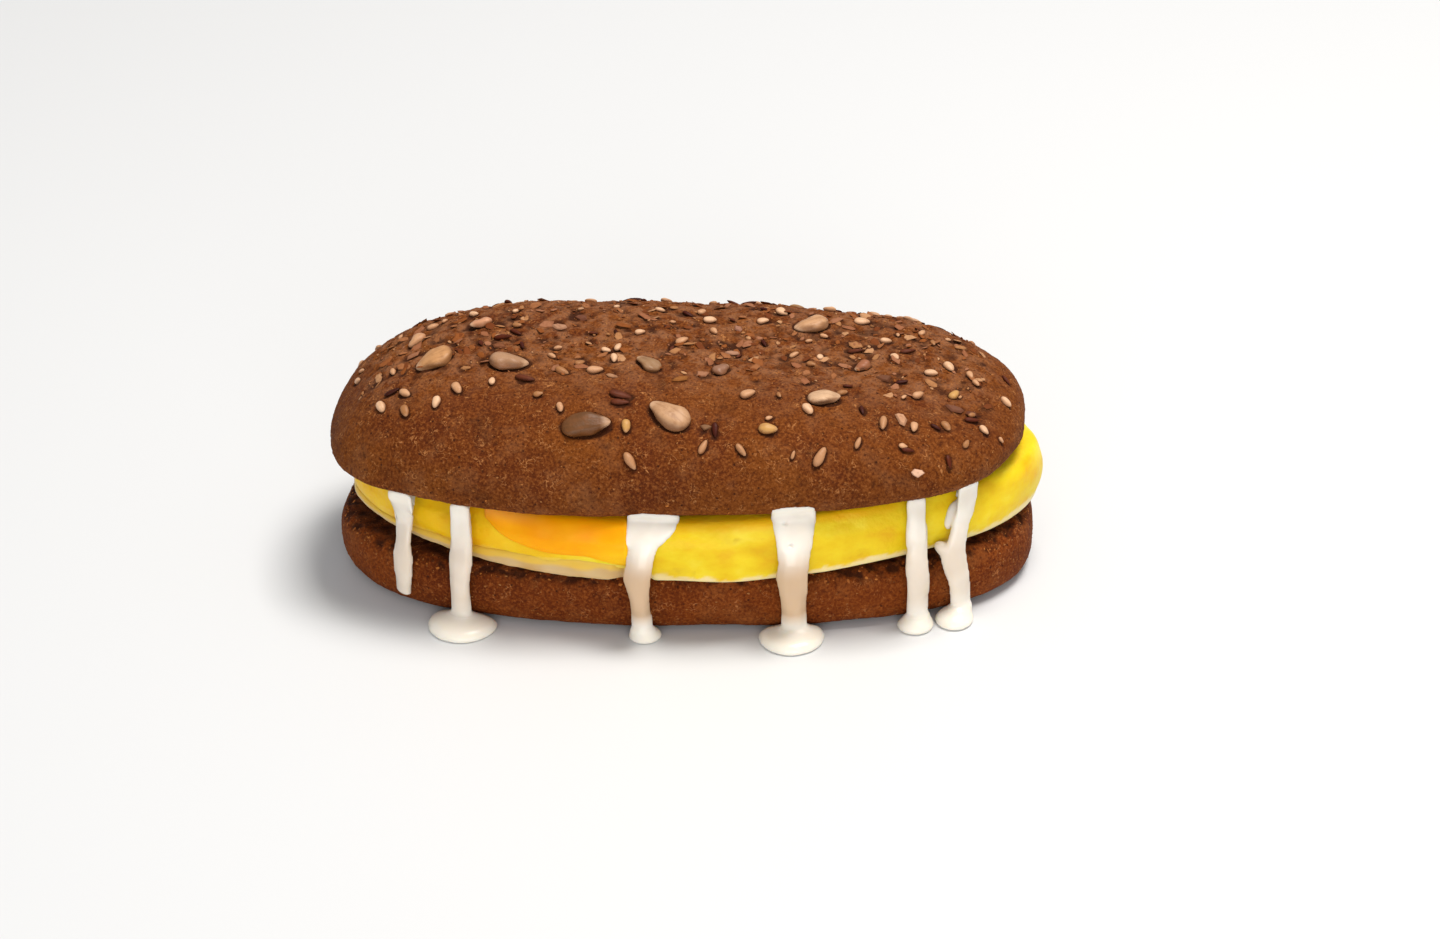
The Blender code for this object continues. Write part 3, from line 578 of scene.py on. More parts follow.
def makeHeel():
    top = stack["heelTop"]
    run = smoothRun(heel["side"], heel["rows"]) + [(inset, top) for inset in heel["cutFace"]]
    rings = []
    for inset, height in run:
        size = (heel["halfLength"] - inset, heel["halfWidth"] - inset, heel["power"])
        ring = []
        for i in range(heel["segments"]):
            x, y = outlinePoint(*size, math.tau * i / heel["segments"], (0.0, 0.0))
            swell = 1.0 + heel["lumpShare"] * lump(Vector((x, y, height)), heel["lumpSize"])
            ring.append((heel["centre"][0] + x * swell, heel["centre"][1] + y * swell, height))
        rings.append(ring)
    mesh = meshFromRings("bottomBun", rings)

    def depthAt(place, normal):
        depth = heel["dent"] * lump(place, heel["dentSize"], 2.0)
        depth += heel["grain"] * lump(place, heel["grainSize"], 5.0)
        fine = heel["tornFine"]
        rough = lump(place, heel["tornSize"], 8.0) + fine * lump(place, fine * heel["tornSize"], 3.0)
        torn = heel["torn"] * smoothStep((place.z - heel["tornFrom"]) / heel["tornRun"])
        depth += torn * (rough - heel["tornBack"])
        return depth * smoothStep(place.z / heel["evenBelow"])

    raiseSurface(mesh, depthAt, "relief")
    # Crumb tone on the cut face, partly painted shade, and painted shade along the foot
    cut, foot = heel["crumbFrom"], heel["footShadeBelow"]
    keepValues(mesh, "crumb", [
        smoothStep((v.co.z - cut) / heel["crumbRun"]) * heel["crumb"]
        + smoothStep((foot - v.co.z) / foot) * heel["dark"] for v in mesh.vertices
    ])
    return mesh


# Egg patty

egg = {
    "halfLength": 79.4, "halfWidth": 41.2, "power": 1.85, "centre": (2.6, 0.0),
    # Insets up its side, each with its share of the height
    "side": (
        (5.5, 0.0), (1.7, 0.03), (0.5, 0.13), (0.0, 0.36), (0.1, 0.64), (0.8, 0.83), (2.2, 0.955),
        (5.0, 0.99), (9.5, 1.0),
    ),
    "segments": 760, "rows": 40, "thickness": 14.0,
    "stepAt": -7.2, "stepRun": 4.6,  # left of the step it lies between two slices of cheese
    "curl": 2.3, "curlEnds": (-28.0, -78.0),
    "lift": 1.2, "liftEnds": (12.0, 52.0),
    "lip": (1.25, 0.6),  # how far it swells up against the crown's rim, and how much more beside the cheddar
    "lipRun": (0.8, 3.2, 6.0, 9.4), "lipTo": (56.0, 68.0), "lipFrom": 0.7, "lipFade": 0.2,
    "bulge": 0.45, "bulgeRuns": (9.0, 23.0), "bulgeTurns": (2.4, 1.0), "bulgeFrom": 0.35,
    "frontSteps": 30, "leastWidth": 0.5,
    "settle": 0.38,  # it sinks onto the slice under it, and its foot is fuller there
    "fullFoot": 0.85, "footInset": 0.3, "footTo": 0.2,
    "curd": 0.50, "curdSize": 6.5, "crease": 0.13, "creaseSize": 2.4, "curdStretch": 0.55,
    "pit": 0.6, "pitSize": 1.5, "pitFrom": 0.42,
    "evenBelow": 0.12, "evenAbove": 1.2, "evenRun": 0.2,
    "skin": 0.16,  # the share of its height that the pale skin along its foot takes
    "skinRags": ((0.8, 5.0), (0.4, 1.4)), "skinFade": 0.05, "skinBeside": 0.8,
    # Under the crown its shoulder is painted a deeper orange, painted shade, and its left part is warmer
    # throughout
    "shoulderShade": 0.5, "shoulderShadeFrom": 0.90, "shoulderShadeRun": 0.12, "shoulderShadeTo": (35.0, 62.0),
    "warm": 0.35, "warmFrom": -15.0, "warmRun": 20.0,
    "look": {
        "curds": ((0.30, "#e1af0c"), (0.44, "#e6c111"), (0.58, "#eacc1c"), (0.74, "#eed738")),
        # The shoulder colour is painted shade under the crown
        "skin": "#ecd79a", "pitShade": "#c9a11c", "shoulder": "#f4a806", "curdSize": 5.0, "grainSize": 1.1,
    },
}

# The pale slice under it and the cheddar over its front

white = {
    "thickness": (1.1, 3.4), "ends": (-76.0, -11.4), "overhang": 0.15, "tuck": 1.6, "tuckRun": 4.0,
    "side": ((1.6, 0.0), (0.5, 0.12), (0.0, 0.38), (0.02, 0.8), (0.14, 1.15), (0.38, 1.5), (1.0, 1.66)),
    "segments": 420, "rows": 14, "sideHeight": 3.0,
    "bulgeAt": 0.1,  # it follows the patty's bulges at this share of the patty's height
    "dent": 0.20, "dentSize": 4.5, "grain": 0.10, "grainSize": 1.4,
    "edge": 0.5, "edgeSize": 7.0, "edgeContrast": 1.5,
    "melt": 0.85, "meltFrom": 0.75, "meltRag": 0.25, "meltSize": 5.0, "meltRun": 0.35,
    "look": {
        "deep": "#c29a5c", "light": "#cbaa77", "edge": "#d4b98a", "melt": "#e5bb38",
        "roughness": 0.42, "gloss": 0.4, "radius": (1.0, 0.7, 0.3), "cloudSize": 9.0, "dimpleSize": 2.0,
    },
}
cheddar = {
    "thickness": 1.7, "air": 0.6, "ends": (-49.5, -10.6), "back": 6.0,
    "hem": (
        (-49.5, 30.2), (-46.5, 28.8), (-43.5, 26.3), (-39.8, 23.8), (-35.3, 22.1), (-28.5, 20.9),
        (-20.7, 21.2), (-17.1, 20.5), (-10.6, 19.6),
    ),
    "hemRows": 60, "hemWave": 0.35, "waveSize": 6.0,
    "columns": 110, "rows": 44, "topShare": 0.25,  # of its rows, so many lie on the patty's top
    "leastHang": 1.5, "hemThickness": 0.7, "thinRun": 5.0, "roundHem": 0.5, "roundEnds": 3.0,
    "probe": 0.6, "off": (0.12, 0.05), "swell": 0.18, "swellSize": 6.0,
    # Painted light: its top under the crown's rim is paler on the left, from this height up and left of this
    # end
    "litTopFrom": 25.5, "litTopRun": 3.0, "litTopEnd": -27.0, "litTopFade": 10.0,
    "melt": 0.85, "meltRun": (-22.5, -13.5), "meltBelow": 27.0, "meltFade": 4.0,
    "look": {
        "deep": "#f99d00", "light": "#ffaa04", "edge": "#f3a041", "melt": "#fcc010",
        "roughness": 0.36, "gloss": 0.14, "radius": (1.0, 0.4, 0.05), "cloudSize": 9.0, "dimpleSize": 2.0,
    },
}


# 1 where the patty lies between two slices, 0 where it doesn't
def besideCheese(x):
    return smoothStep((egg["stepAt"] - x) / egg["stepRun"] + 0.5)


def whiteThickness(x):
    thin, full = white["thickness"]
    return lerp(thin, full, smoothStep((x - white["ends"][0]) / (white["ends"][1] - white["ends"][0])))


def fillingBottom(x):
    height = stack["heelTop"] + stack["air"]
    for rise, ends in (("curl", "curlEnds"), ("lift", "liftEnds")):
        start, end = egg[ends]
        height += egg[rise] * smoothStep((x - start) / (end - start))
    return height


def eggBottom(x):
    return fillingBottom(x) + (whiteThickness(x) + stack["air"]) * besideCheese(x)


def eggTop(x):
    overIt = (cheddar["thickness"] + cheddar["air"]) * besideCheese(x)
    return seatHeight(x) - 2.0 * stack["air"] - stack["spread"] - overIt


# How far the patty swells up to the crown near its edge, more where the cheddar lies on it
def eggLip(x, inset, share):
    rises, full, falls, end = egg["lipRun"]
    near = smoothStep((inset - rises) / (full - rises)) * smoothStep((end - inset) / (end - falls))
    high = smoothStep((share - egg["lipFrom"]) / egg["lipFade"])
    start, stop = egg["lipTo"]
    plain, beside = egg["lip"]
    return (plain + beside * besideCheese(x)) * near * high * smoothStep((stop - x) / (stop - start))


def eggSwell(x, share):
    short, long = egg["bulgeRuns"]
    leaning, shifted = egg["bulgeTurns"]
    return egg["bulge"] * math.sin(x / short + leaning * share) * math.sin(x / long + shifted)


# Swells fade out at the middle of each end, where the two sides meet
def offMiddle(y):
    return min(1.0, abs(y) / (egg["bulgeFrom"] * egg["halfWidth"]))


def makeEgg():
    rings = []
    for inset, share in sideRun(egg, egg["thickness"]):
        size = (egg["halfLength"] - inset, egg["halfWidth"] - inset, egg["power"])
        fuller = egg["fullFoot"] * max(0.0, inset - egg["footInset"]) if share < egg["footTo"] else 0.0
        ring = []
        for i in range(egg["segments"]):
            x, y = outlinePoint(*size, math.tau * (i + 0.5) / egg["segments"], egg["centre"])
            y += math.copysign((eggSwell(x, share) + fuller * besideCheese(x)) * offMiddle(y), y)
            height = lerp(eggBottom(x) - egg["settle"] * besideCheese(x), eggTop(x), share)
            ring.append((x, y, height + eggLip(x, inset, share)))
        rings.append(ring)
    mesh = meshFromRings("eggPatty", rings, strips=True)

    def shareAt(place):
        return (place.z - eggBottom(place.x)) / (eggTop(place.x) - eggBottom(place.x))

    skins = []

    def depthAt(place, normal):
        share = shareAt(place)
        stretch = egg["curdStretch"]
        soft = Vector((place.x * stretch, place.y * stretch, place.z))
        depth = egg["curd"] * lump(soft, egg["curdSize"], 1.0)
        depth += egg["crease"] * lump(soft, egg["creaseSize"], 6.0)
        depth -= egg["pit"] * max(0.0, lump(place, egg["pitSize"], 11.0) - egg["pitFrom"])
        (wide, wideSize), (small, smallSize) = egg["skinRags"]
        rags = 1.0 + wide * lump(place, wideSize, 3.0) + small * lump(place, smallSize, 9.0)
        skin = smoothStep((egg["skin"] * rags - share) / egg["skinFade"] + 0.5)
        skins.append(skin * (1.0 - egg["skinBeside"] * besideCheese(place.x)))
        low = smoothStep(share / egg["evenBelow"])
        return depth * low * smoothStep((egg["evenAbove"] - share) / egg["evenRun"])

    shares = [shareAt(vertex.co) for vertex in mesh.vertices]
    raiseSurface(mesh, depthAt, "relief")
    keepValues(mesh, "skin", skins)
    # Painted shade on the shoulder under the crown, and a warmer left part
    start, end = egg["shoulderShadeTo"]
    warms = []
    for share, vertex in zip(shares, mesh.vertices):
        high = smoothStep((share - egg["shoulderShadeFrom"]) / egg["shoulderShadeRun"])
        shoulderShade = egg["shoulderShade"] * high * smoothStep((end - vertex.co.x) / (end - start))
        left = smoothStep((egg["warmFrom"] - vertex.co.x) / egg["warmRun"])
        warms.append(max(shoulderShade, egg["warm"] * left))
    keepValues(mesh, "shoulder", warms)
    return mesh


def makeWhiteCheese():
    rings = []
    for inset, share in sideRun(white, white["sideHeight"]):
        halfLength = egg["halfLength"] + white["overhang"] - inset
        halfWidth = egg["halfWidth"] + white["overhang"] - inset
        cutAt = white["ends"][1] - inset
        first = math.acos(((egg["centre"][0] - cutAt) / halfLength) ** (egg["power"] / 2.0))
        ring = []
        for i in range(white["segments"] + 1):
            angle = lerp(math.pi - first, math.pi + first, i / white["segments"])
            x, y = outlinePoint(halfLength, halfWidth, egg["power"], angle, egg["centre"])
            y -= math.copysign(white["tuck"] * smoothStep(1.0 - (cutAt - x) / white["tuckRun"]), y)
            y += math.copysign(eggSwell(x, white["bulgeAt"]) * offMiddle(y) * smoothStep(share), y)
            ring.append((x, y, fillingBottom(x) + whiteThickness(x) * share))
        rings.append(ring)
    mesh = meshFromRings("paleCheese", rings, strips=True)
    raiseSurface(mesh, lambda place, normal: (
        white["dent"] * lump(place, white["dentSize"], 2.0)
        + white["grain"] * lump(place, white["grainSize"], 4.0)
    ))
    edges, melts = [], []
    for vertex in mesh.vertices:
        share = (vertex.co.z - fillingBottom(vertex.co.x)) / whiteThickness(vertex.co.x)
        cloud = white["edgeContrast"] * lump(vertex.co, white["edgeSize"], 5.0)
        ragged = share - white["meltFrom"] + white["meltRag"] * lump(vertex.co, white["meltSize"], 6.0)
        edges.append(smoothStep(0.5 + cloud) * white["edge"])
        melts.append(white["melt"] * smoothStep(ragged / white["meltRun"]))
    keepValues(mesh, "edge", edges)
    keepValues(mesh, "melt", melts)
    return mesh


# The patty's front, seen from its end: Y and height from the middle of its top down to its foot
def eggSection(x):
    points = [(0.0, eggTop(x))]
    for inset, share in reversed(smoothRun(egg["side"], egg["frontSteps"])):
        along = min(1.0, abs(x - egg["centre"][0]) / (egg["halfLength"] - inset))
        width = (egg["halfWidth"] - inset) * (1.0 - along ** egg["power"]) ** (1.0 / egg["power"])
        height = lerp(eggBottom(x), eggTop(x), share) + eggLip(x, inset, share)
        points.append((-max(egg["leastWidth"], width + eggSwell(x, share)), height))
    return np.array(points)


# Over the patty's top and down its front as far as the hem, thin and rounded there and at its two ends
def makeCheddar():
    hemX, hemZ = zip(*smoothRun(cheddar["hem"], cheddar["hemRows"]))
    columns, rows, top = cheddar["columns"], cheddar["rows"], cheddar["topShare"]
    inner, outer, edges = [], [], []
    for i in range(columns):
        x = lerp(*cheddar["ends"], i / (columns - 1))
        section = eggSection(x)
        along = lengthsAlong(section)
        wave = cheddar["hemWave"] * lump(Vector((x, 0.0, 0.0)), cheddar["waveSize"], 3.0)
        hemHeight = np.interp(x, hemX, hemZ) + wave
        shoulder = along[1]
        hem = max(shoulder + cheddar["leastHang"], np.interp(-hemHeight, -section[:, 1], along))
        low, high, row = [], [], []
        for j in range(rows):
            share = j / (rows - 1)
            if share < top:
                distance = lerp(cheddar["back"], shoulder, share / top)
            else:
                distance = lerp(shoulder, hem, (share - top) / (1.0 - top))
            y, z = placeAlong(section, along, distance)
            ahead, below = placeAlong(section, along, distance + cheddar["probe"])
            behind, above = placeAlong(section, along, distance - cheddar["probe"])
            out = Vector((0.0, below - above, behind - ahead))
            out = out.normalized() if out.length > 0.0 else Vector((0.0, 0.0, 1.0))
            out = -out if out.z < 0.0 and out.y > 0.0 else out
            fromEnd = (min(i, columns - 1 - i) + 0.01) / cheddar["roundEnds"]
            rim = min(1.0, (hem - distance) / cheddar["roundHem"], fromEnd)
            full = smoothStep((hem - distance) / cheddar["thinRun"])
            full = lerp(cheddar["hemThickness"], cheddar["thickness"], full)
            thick = full * math.sqrt(max(0.0, 1.0 - (1.0 - max(0.0, rim)) ** 2))
            foot = Vector((x, y, z)) + out * cheddar["off"][0]
            swell = 1.0 + cheddar["swell"] * lump(foot, cheddar["swellSize"], 3.0)
            low.append(foot)
            high.append(foot + out * (cheddar["off"][1] + thick * swell))
            # Painted light: paler towards the top under the crown's rim, on its left part
            pale = smoothStep((z - cheddar["litTopFrom"]) / cheddar["litTopRun"])
            row.append(pale * smoothStep((cheddar["litTopEnd"] - x) / cheddar["litTopFade"]))
        inner.append(low)
        outer.append(high)
        edges += row
    mesh = meshFromSheet("cheddarSlice", inner, outer)
    keepValues(mesh, "edge", edges * 2)
    start, end = cheddar["meltRun"]
    melts = []
    for vertex in mesh.vertices:
        low = smoothStep((cheddar["meltBelow"] - vertex.co.z) / cheddar["meltFade"])
        melts.append(cheddar["melt"] * smoothStep((vertex.co.x - start) / (end - start)) * low)
    keepValues(mesh, "melt", melts)
    return mesh


# Crown of the bun

crown = {
    "halfLength": 79.4, "halfWidth": 38.6, "power": 2.9, "cutPower": 2.6, "centre": (-1.5, -0.5),
    "rimHeight": 4.0, "rimInset": 3.6, "domeHeight": 18.4, "domePowers": (3.9, 1.76), "skew": -0.46,
    "lumpSize": 21.0, "lumpHeight": 0.9, "lumpShift": 4.0, "lumpFrom": 1.5,
    # Its front right corner is drawn in: the turn and the reach in degrees, then how far
    "corner": (27.0, 21.0), "cornerDraw": (-1.4, 2.1),
    "alongGrid": 164, "acrossGrid": 88,  # steps from the middle to each end and each side
    "domeSteps": 500, "rimRows": 12, "cutFace": (4.4, 5.4, 6.6, 8.2, 10.5, 14.0),
    "dent": 0.20, "dentSize": 6.5, "grain": 0.09, "grainSize": 1.3, "fine": 0.07, "fineShare": 0.5,
    "pit": 0.6, "pitSize": 1.7, "pitFrom": 0.45,
    "rough": 0.45, "roughSize": 2.8,  # towards the crest the husks make it rough
    "roughFrom": -26.0, "roughRun": 18.0, "roughAbove": 42.0, "roughRise": 5.0,
    "huskRun": 22.0, "huskAbove": 40.0, "huskRise": 8.0, "crumbTo": 0.6, "crumbRun": 0.5,
    "look": {
        "deep": "#5c2806", "warm": "#713a0b", "dusky": "#7a4826", "pore": "#401702", "crest": "#8b5022",
        "bran": "#ab6f3e", "pit": "#2d1003", "contrast": 0.85, "fibres": 0.10, "plainBelow": (33.0, 42.0),
        "crumb": "#2a1106", "husk": "#8f6041",
    },
}


def domeHeight(scale):
    flatness, roundness = crown["domePowers"]
    return crown["domeHeight"] * max(0.0, 1.0 - scale**flatness) ** (1.0 / roundness)


# The places of grid lines from the middle out, closer together where the dome falls away
def gridShares(steps, reach):
    scales = np.sin(np.linspace(0.0, math.pi / 2.0, crown["domeSteps"]))
    along = lengthsAlong(np.array([(scale * reach, domeHeight(scale)) for scale in scales]))
    half = list(np.interp(np.linspace(0.0, along[-1], steps + 1), along, scales))
    return [-share for share in half[:0:-1]] + half


# The crown's outline towards a point of its grid, drawn in at one corner
def onOutline(a, b, inset, power):
    reach = (abs(a) ** power + abs(b) ** power) ** (1.0 / power)
    x, y = (crown["halfLength"] - inset) * a / reach, (crown["halfWidth"] - inset) * b / reach
    middle, width = crown["corner"]
    turn = math.degrees(math.atan2(-y / crown["halfWidth"], x / crown["halfLength"]))
    share = smoothStep(1.0 - abs(turn - middle) / width)
    return x + share * crown["cornerDraw"][0], y + share * crown["cornerDraw"][1]


def makeCrown():
    widest = stack["seat"] + crown["rimHeight"]
    lean = math.tan(stack["seatLean"])
    cx, cy = crown["centre"]
    alongShares = gridShares(crown["alongGrid"], crown["halfLength"])
    acrossShares = gridShares(crown["acrossGrid"], crown["halfWidth"])
    points, faces = [], []
    for v in acrossShares:
        for u in alongShares:
            scale = max(abs(u), abs(v))
            a, b = (u / scale, v / scale) if scale > 0.0 else (1.0, 0.0)
            x, y = onOutline(a, b, 0.0, crown["power"])
            x, y = cx + x * scale, cy + y * scale
            rise = lean + crown["skew"] * crown["domeHeight"] * (1.0 - scale * scale) / crown["halfLength"]
            points.append((x, y, widest + domeHeight(scale) + rise * x))
    columns, rows = len(alongShares), len(acrossShares)
    for j in range(rows - 1):
        for i in range(columns - 1):
            corner = j * columns + i
            faces.append((corner, corner + 1, corner + columns + 1, corner + columns))
    border = gridBorder(columns, rows)
    directions = [(alongShares[index % columns], acrossShares[index // columns]) for index in border]
    levels = []
    for i in range(1, crown["rimRows"] + 1):
        turn = 0.5 * math.pi * (1.0 - i / crown["rimRows"])
        inset = crown["rimInset"] * (1.0 - math.sin(turn))
        levels.append((inset, lerp(crown["cutPower"], crown["power"], math.sin(turn)), math.cos(turn)))
    levels += [(inset, crown["cutPower"], 1.0) for inset in crown["cutFace"]]
    ring = border
    for inset, power, tucked in levels:
        first = len(points)
        for a, b in directions:
            x, y = onOutline(a, b, inset, power)
            points.append((cx + x, cy + y, lerp(widest + lean * (cx + x), seatHeight(cx + x), tucked)))
        lower = list(range(first, first + len(border)))
        for i in range(len(border)):
            j = (i + 1) % len(border)
            faces.append((lower[i], lower[j], ring[j], ring[i]))
        ring = lower
    faces.append(ring[::-1])
    mesh = newMesh("topBun", points, faces)
    lumpFrom = stack["seat"] + crown["lumpFrom"]
    raiseSurface(mesh, lambda place, normal: (
        smoothStep((place.z - lumpFrom) / crown["lumpFrom"] + 0.5) * crown["lumpHeight"]
        * lump(place, crown["lumpSize"], crown["lumpShift"])
    ))

    def depthAt(place, normal):
        depth = crown["dent"] * lump(place, crown["dentSize"], 1.0)
        back = smoothStep((place.y - crown["roughFrom"]) / crown["roughRun"])
        rough = back * smoothStep((place.z - crown["roughAbove"]) / crown["roughRise"])
        depth += crown["rough"] * rough * lump(place, crown["roughSize"], 9.0)
        depth += crown["grain"] * lump(place, crown["grainSize"], 7.0)
        depth += crown["fine"] * lump(place, crown["fineShare"] * crown["grainSize"], 2.0)
        depth -= crown["pit"] * max(0.0, lump(place, crown["pitSize"], 12.0) - crown["pitFrom"])
        return depth

    raiseSurface(mesh, depthAt, "relief")
    crumbs, crests = [], []
    for x, y, z in (vertex.co for vertex in mesh.vertices):
        # The cut face takes the dark crumb tone, partly painted shade
        crumbs.append(smoothStep((seatHeight(x) + crown["crumbTo"] - z) / crown["crumbRun"]))
        back = smoothStep((y - crown["roughFrom"]) / crown["huskRun"])
        crests.append(back * smoothStep((z - crown["huskAbove"]) / crown["huskRise"]))
    keepValues(mesh, "crumb", crumbs)
    keepValues(mesh, "crest", crests)
    return mesh


# Seeds and chips. Each kind is one piece of many bodies. Those that the picture shows are placed by its
# pixels: X, Y, the turn of the point clockwise from the right, the length in pixels and the tint. The
# others, on the far side and near the crest, are sown.

pixelSize = 0.226  # millimetres that a pixel shows on the crown

kernels = {
    "slim": 0.56, "thick": 0.32, "point": 0.32, "flat": 2.7, "uneven": 0.11, "sides": 28, "rows": 20,
    "sink": -0.04, "pressed": 0.5, "sown": 5, "hidden": -0.43, "room": 11.5, "length": 9.4,
    "look": {
        "roughness": 0.45, "gloss": 0.25, "mottle": 1.9, "toast": 0.4, "streak": 0.3, "tip": 0.6,
        "toasted": "#7a4a26", "pale": "#dab28e", "side": 0.7, "shade": "#6d3f1e",
    },
    "tints": ("#8c6a42", "#a77e52", "#b89468", "#7a5834"),
    "places": (  # the last value is the width by the length
        (434, 360, 156, 40, "#bd8a5a", 0.72), (509, 362, 4, 40, "#a67f5f", 0.68),
        (586, 425, -3, 49, "#5e3b1d", 0.47), (669, 415, 213, 46, "#b88e69", 0.6),
        (824, 398, -6, 33, "#cea884", 0.72), (811, 325, 168, 38, "#c0926a", 0.62),
        (648, 364, 212, 29, "#937150", 0.6), (481, 323, 160, 24, "#c9906c", 0.6),
        (721, 369, -30, 21, "#8d654e", 0.75), (862, 366, 150, 19, "#955c3e", 0.7),
    ),
}
sesame = {
    "slim": 0.58, "thick": 0.42, "point": 0.22, "flat": 2.3, "uneven": 0.07, "sides": 14, "rows": 10,
    "sink": -0.05, "pressed": 0.34, "sown": 46, "hidden": -0.12, "room": 2.8, "length": 3.2,
    "look": {
        "roughness": 0.45, "gloss": 0.22, "mottle": 1.1, "toast": 0.35, "streak": 0.2, "tip": 0.2,
        "toasted": "#a06c44", "pale": "#e2ba92", "side": 0.65, "shade": "#8a5430",
    },
    "tints": ("#d2a884", "#c3946c", "#ad7c57", "#d8ad84"),
    # Each tone's tint and width by length, then its places
    "tones": {
        "pale": ("#d9af8a", 0.6), "tan": ("#c2926b", 0.58), "toasted": ("#9b693f", 0.58),
        "golden": ("#bd8f50", 0.6), "slender": ("#b07f58", 0.42),
    },
    "pale": (
        (358, 381, -15, 12), (381, 407, 66, 15), (492, 381, -80, 11), (640, 332, 0, 11), (618, 347, -52, 11),
        (606, 350, 10, 10), (614, 358, 92, 12), (660, 310, 10, 11), (617, 307, -10, 9), (710, 320, 2, 14),
        (763, 321, -8, 13), (782, 312, 20, 14), (820, 357, -60, 11), (808, 409, 58, 16), (949, 367, 52, 16),
        (931, 373, 8, 14), (886, 341, 0, 13), (984, 430, 50, 12), (862, 322, 4, 17), (516, 311, -20, 9),
        (474, 314, -5, 10), (1006, 402, 45, 14), (436, 402, 108, 14), (895, 357, 35, 13),
    ),
    "tan": (
        (362, 371, -20, 9), (393, 372, 75, 10), (405, 393, 25, 14), (457, 388, 56, 16), (433, 327, -24, 13),
        (558, 348, 0, 10), (552, 356, 28, 11), (595, 370, -8, 17), (560, 407, 78, 12), (417, 341, 144, 22),
        (682, 341, -20, 15), (714, 331, 40, 11), (702, 312, -30, 12), (794, 355, -20, 11),
        (748, 394, -25, 17), (769, 418, -20, 8), (824, 336, 20, 9), (809, 341, 0, 8), (898, 335, 90, 7),
        (922, 333, -30, 10), (948, 340, 10, 8), (970, 375, 60, 11), (976, 383, 48, 10), (918, 395, -25, 14),
        (904, 397, -30, 7), (914, 427, 100, 13), (903, 446, 10, 9), (1001, 440, 60, 7), (445, 321, -30, 8),
        (401, 337, -45, 8), (581, 309, 0, 7), (673, 322, 0, 7),
    ),
    "slender": (
        (630, 461, 58, 20), (820, 457, -62, 22), (703, 447, -62, 16), (741, 450, 52, 15), (883, 423, 95, 18),
        (858, 443, -68, 13), (793, 455, -70, 9),
    ),
    "toasted": (
        (380, 375, 0, 7), (405, 411, 76, 15), (562, 371, 20, 15), (580, 363, -15, 12), (538, 394, -10, 10),
        (779, 395, 60, 8), (811, 364, 10, 10), (842, 393, -10, 12), (933, 343, 50, 9),
        (946, 426, 52, 13), (966, 444, -60, 10), (972, 415, -10, 10), (517, 325, 10, 10),
    ),
    "golden": ((626, 426, 90, 15), (768, 429, 3, 19), (954, 395, -42, 15)),
}
flax = {
    "slim": 0.36, "thick": 0.24, "point": 0.3, "flat": 2.2, "uneven": 0.06, "sides": 12, "rows": 9,
    "sink": 0.0, "pressed": 0.34, "sown": 30, "hidden": -0.12, "room": 2.8, "length": 4.4,
    "look": {
        "roughness": 0.5, "gloss": 0.12, "mottle": 1.5, "toast": 0.4, "streak": 0.2, "tip": 0.0,
        "toasted": "#260a02", "pale": "#6b4630", "side": 0.4, "shade": "#1d0802",
    },
    "tints": ("#42160a", "#54210d", "#3a1206", "#5f2d18"),
    "dark": (
        (525, 378, 10, 22), (621, 395, 12, 24), (620, 402, 4, 19), (503, 337, 3, 21), (481, 343, 62, 12),
        (459, 350, 0, 9), (516, 332, 25, 14), (522, 345, 70, 13), (672, 348, -50, 10), (668, 326, 0, 9),
        (645, 315, 0, 9), (688, 314, 20, 13), (764, 343, 60, 11), (856, 351, -3, 18), (908, 351, -8, 17),
        (848, 386, 5, 10), (862, 410, 70, 13), (715, 430, 88, 17), (901, 382, 0, 15), (936, 427, 30, 12),
        (972, 420, 6, 16), (1006, 380, 50, 13), (764, 309, 10, 12), (593, 333, 10, 12), (616, 332, 70, 9),
        (739, 356, -30, 9), (908, 450, 8, 13), (949, 462, 80, 15), (392, 392, -24, 17), (733, 320, 30, 10),
    ),
}
# Husks and cracked grain: the large bits that the picture shows, and many small ones near the crest
chips = {
    "size": (0.8, 4.8), "sizePower": 2.4, "thickness": (0.16, 0.42), "sink": 0.02, "tilt": 0.36,
    "pressed": 0.14,
    "bitSize": 1.1, "bitThickness": 0.2, "bitWidth": 0.68,  # by the length that the picture shows
    "count": 640, "crest": -9.0, "crestRun": 14.0,
    "along": (-0.9, 0.9), "across": (-0.6, 0.9), "steepest": 0.45,
    "look": {
        "roughness": 0.7, "gloss": 0.1, "mottle": 0.9, "toast": 0.45, "streak": 0.0, "tip": 0.0,
        "toasted": "#6a3718", "pale": "#9c6a44", "side": 0.4, "shade": "#5c2d12",
    },
    "tints": (
        "#84491e", "#8c5128", "#97603a", "#743c18", "#a57248", "#925c3d", "#693414", "#9a6648", "#b88860",
    ),
    "bits": (
        (901, 419, 62, 19, "#bb8c6b"), (917, 473, 8, 15, "#e0b394"), (806, 373, -30, 14, "#99633f"),
        (680, 379, -10, 15, "#8f5a2a"), (733, 353, 8, 15, "#a87c62"), (738, 329, 80, 14, "#996c58"),
        (580, 318, 10, 19, "#6d4331"), (955, 409, 20, 19, "#6e4634"), (560, 327, 12, 16, "#a67a5e"),
        (612, 376, 10, 13, "#a97d5c"), (972, 414, -5, 14, "#5c3527"), (706, 427, 0, 12, "#7a573c"),
        (702, 374, 10, 14, "#9d6c4f"), (500, 346, 10, 15, "#7b4b30"), (884, 378, 0, 17, "#66402c"),
    ),
}
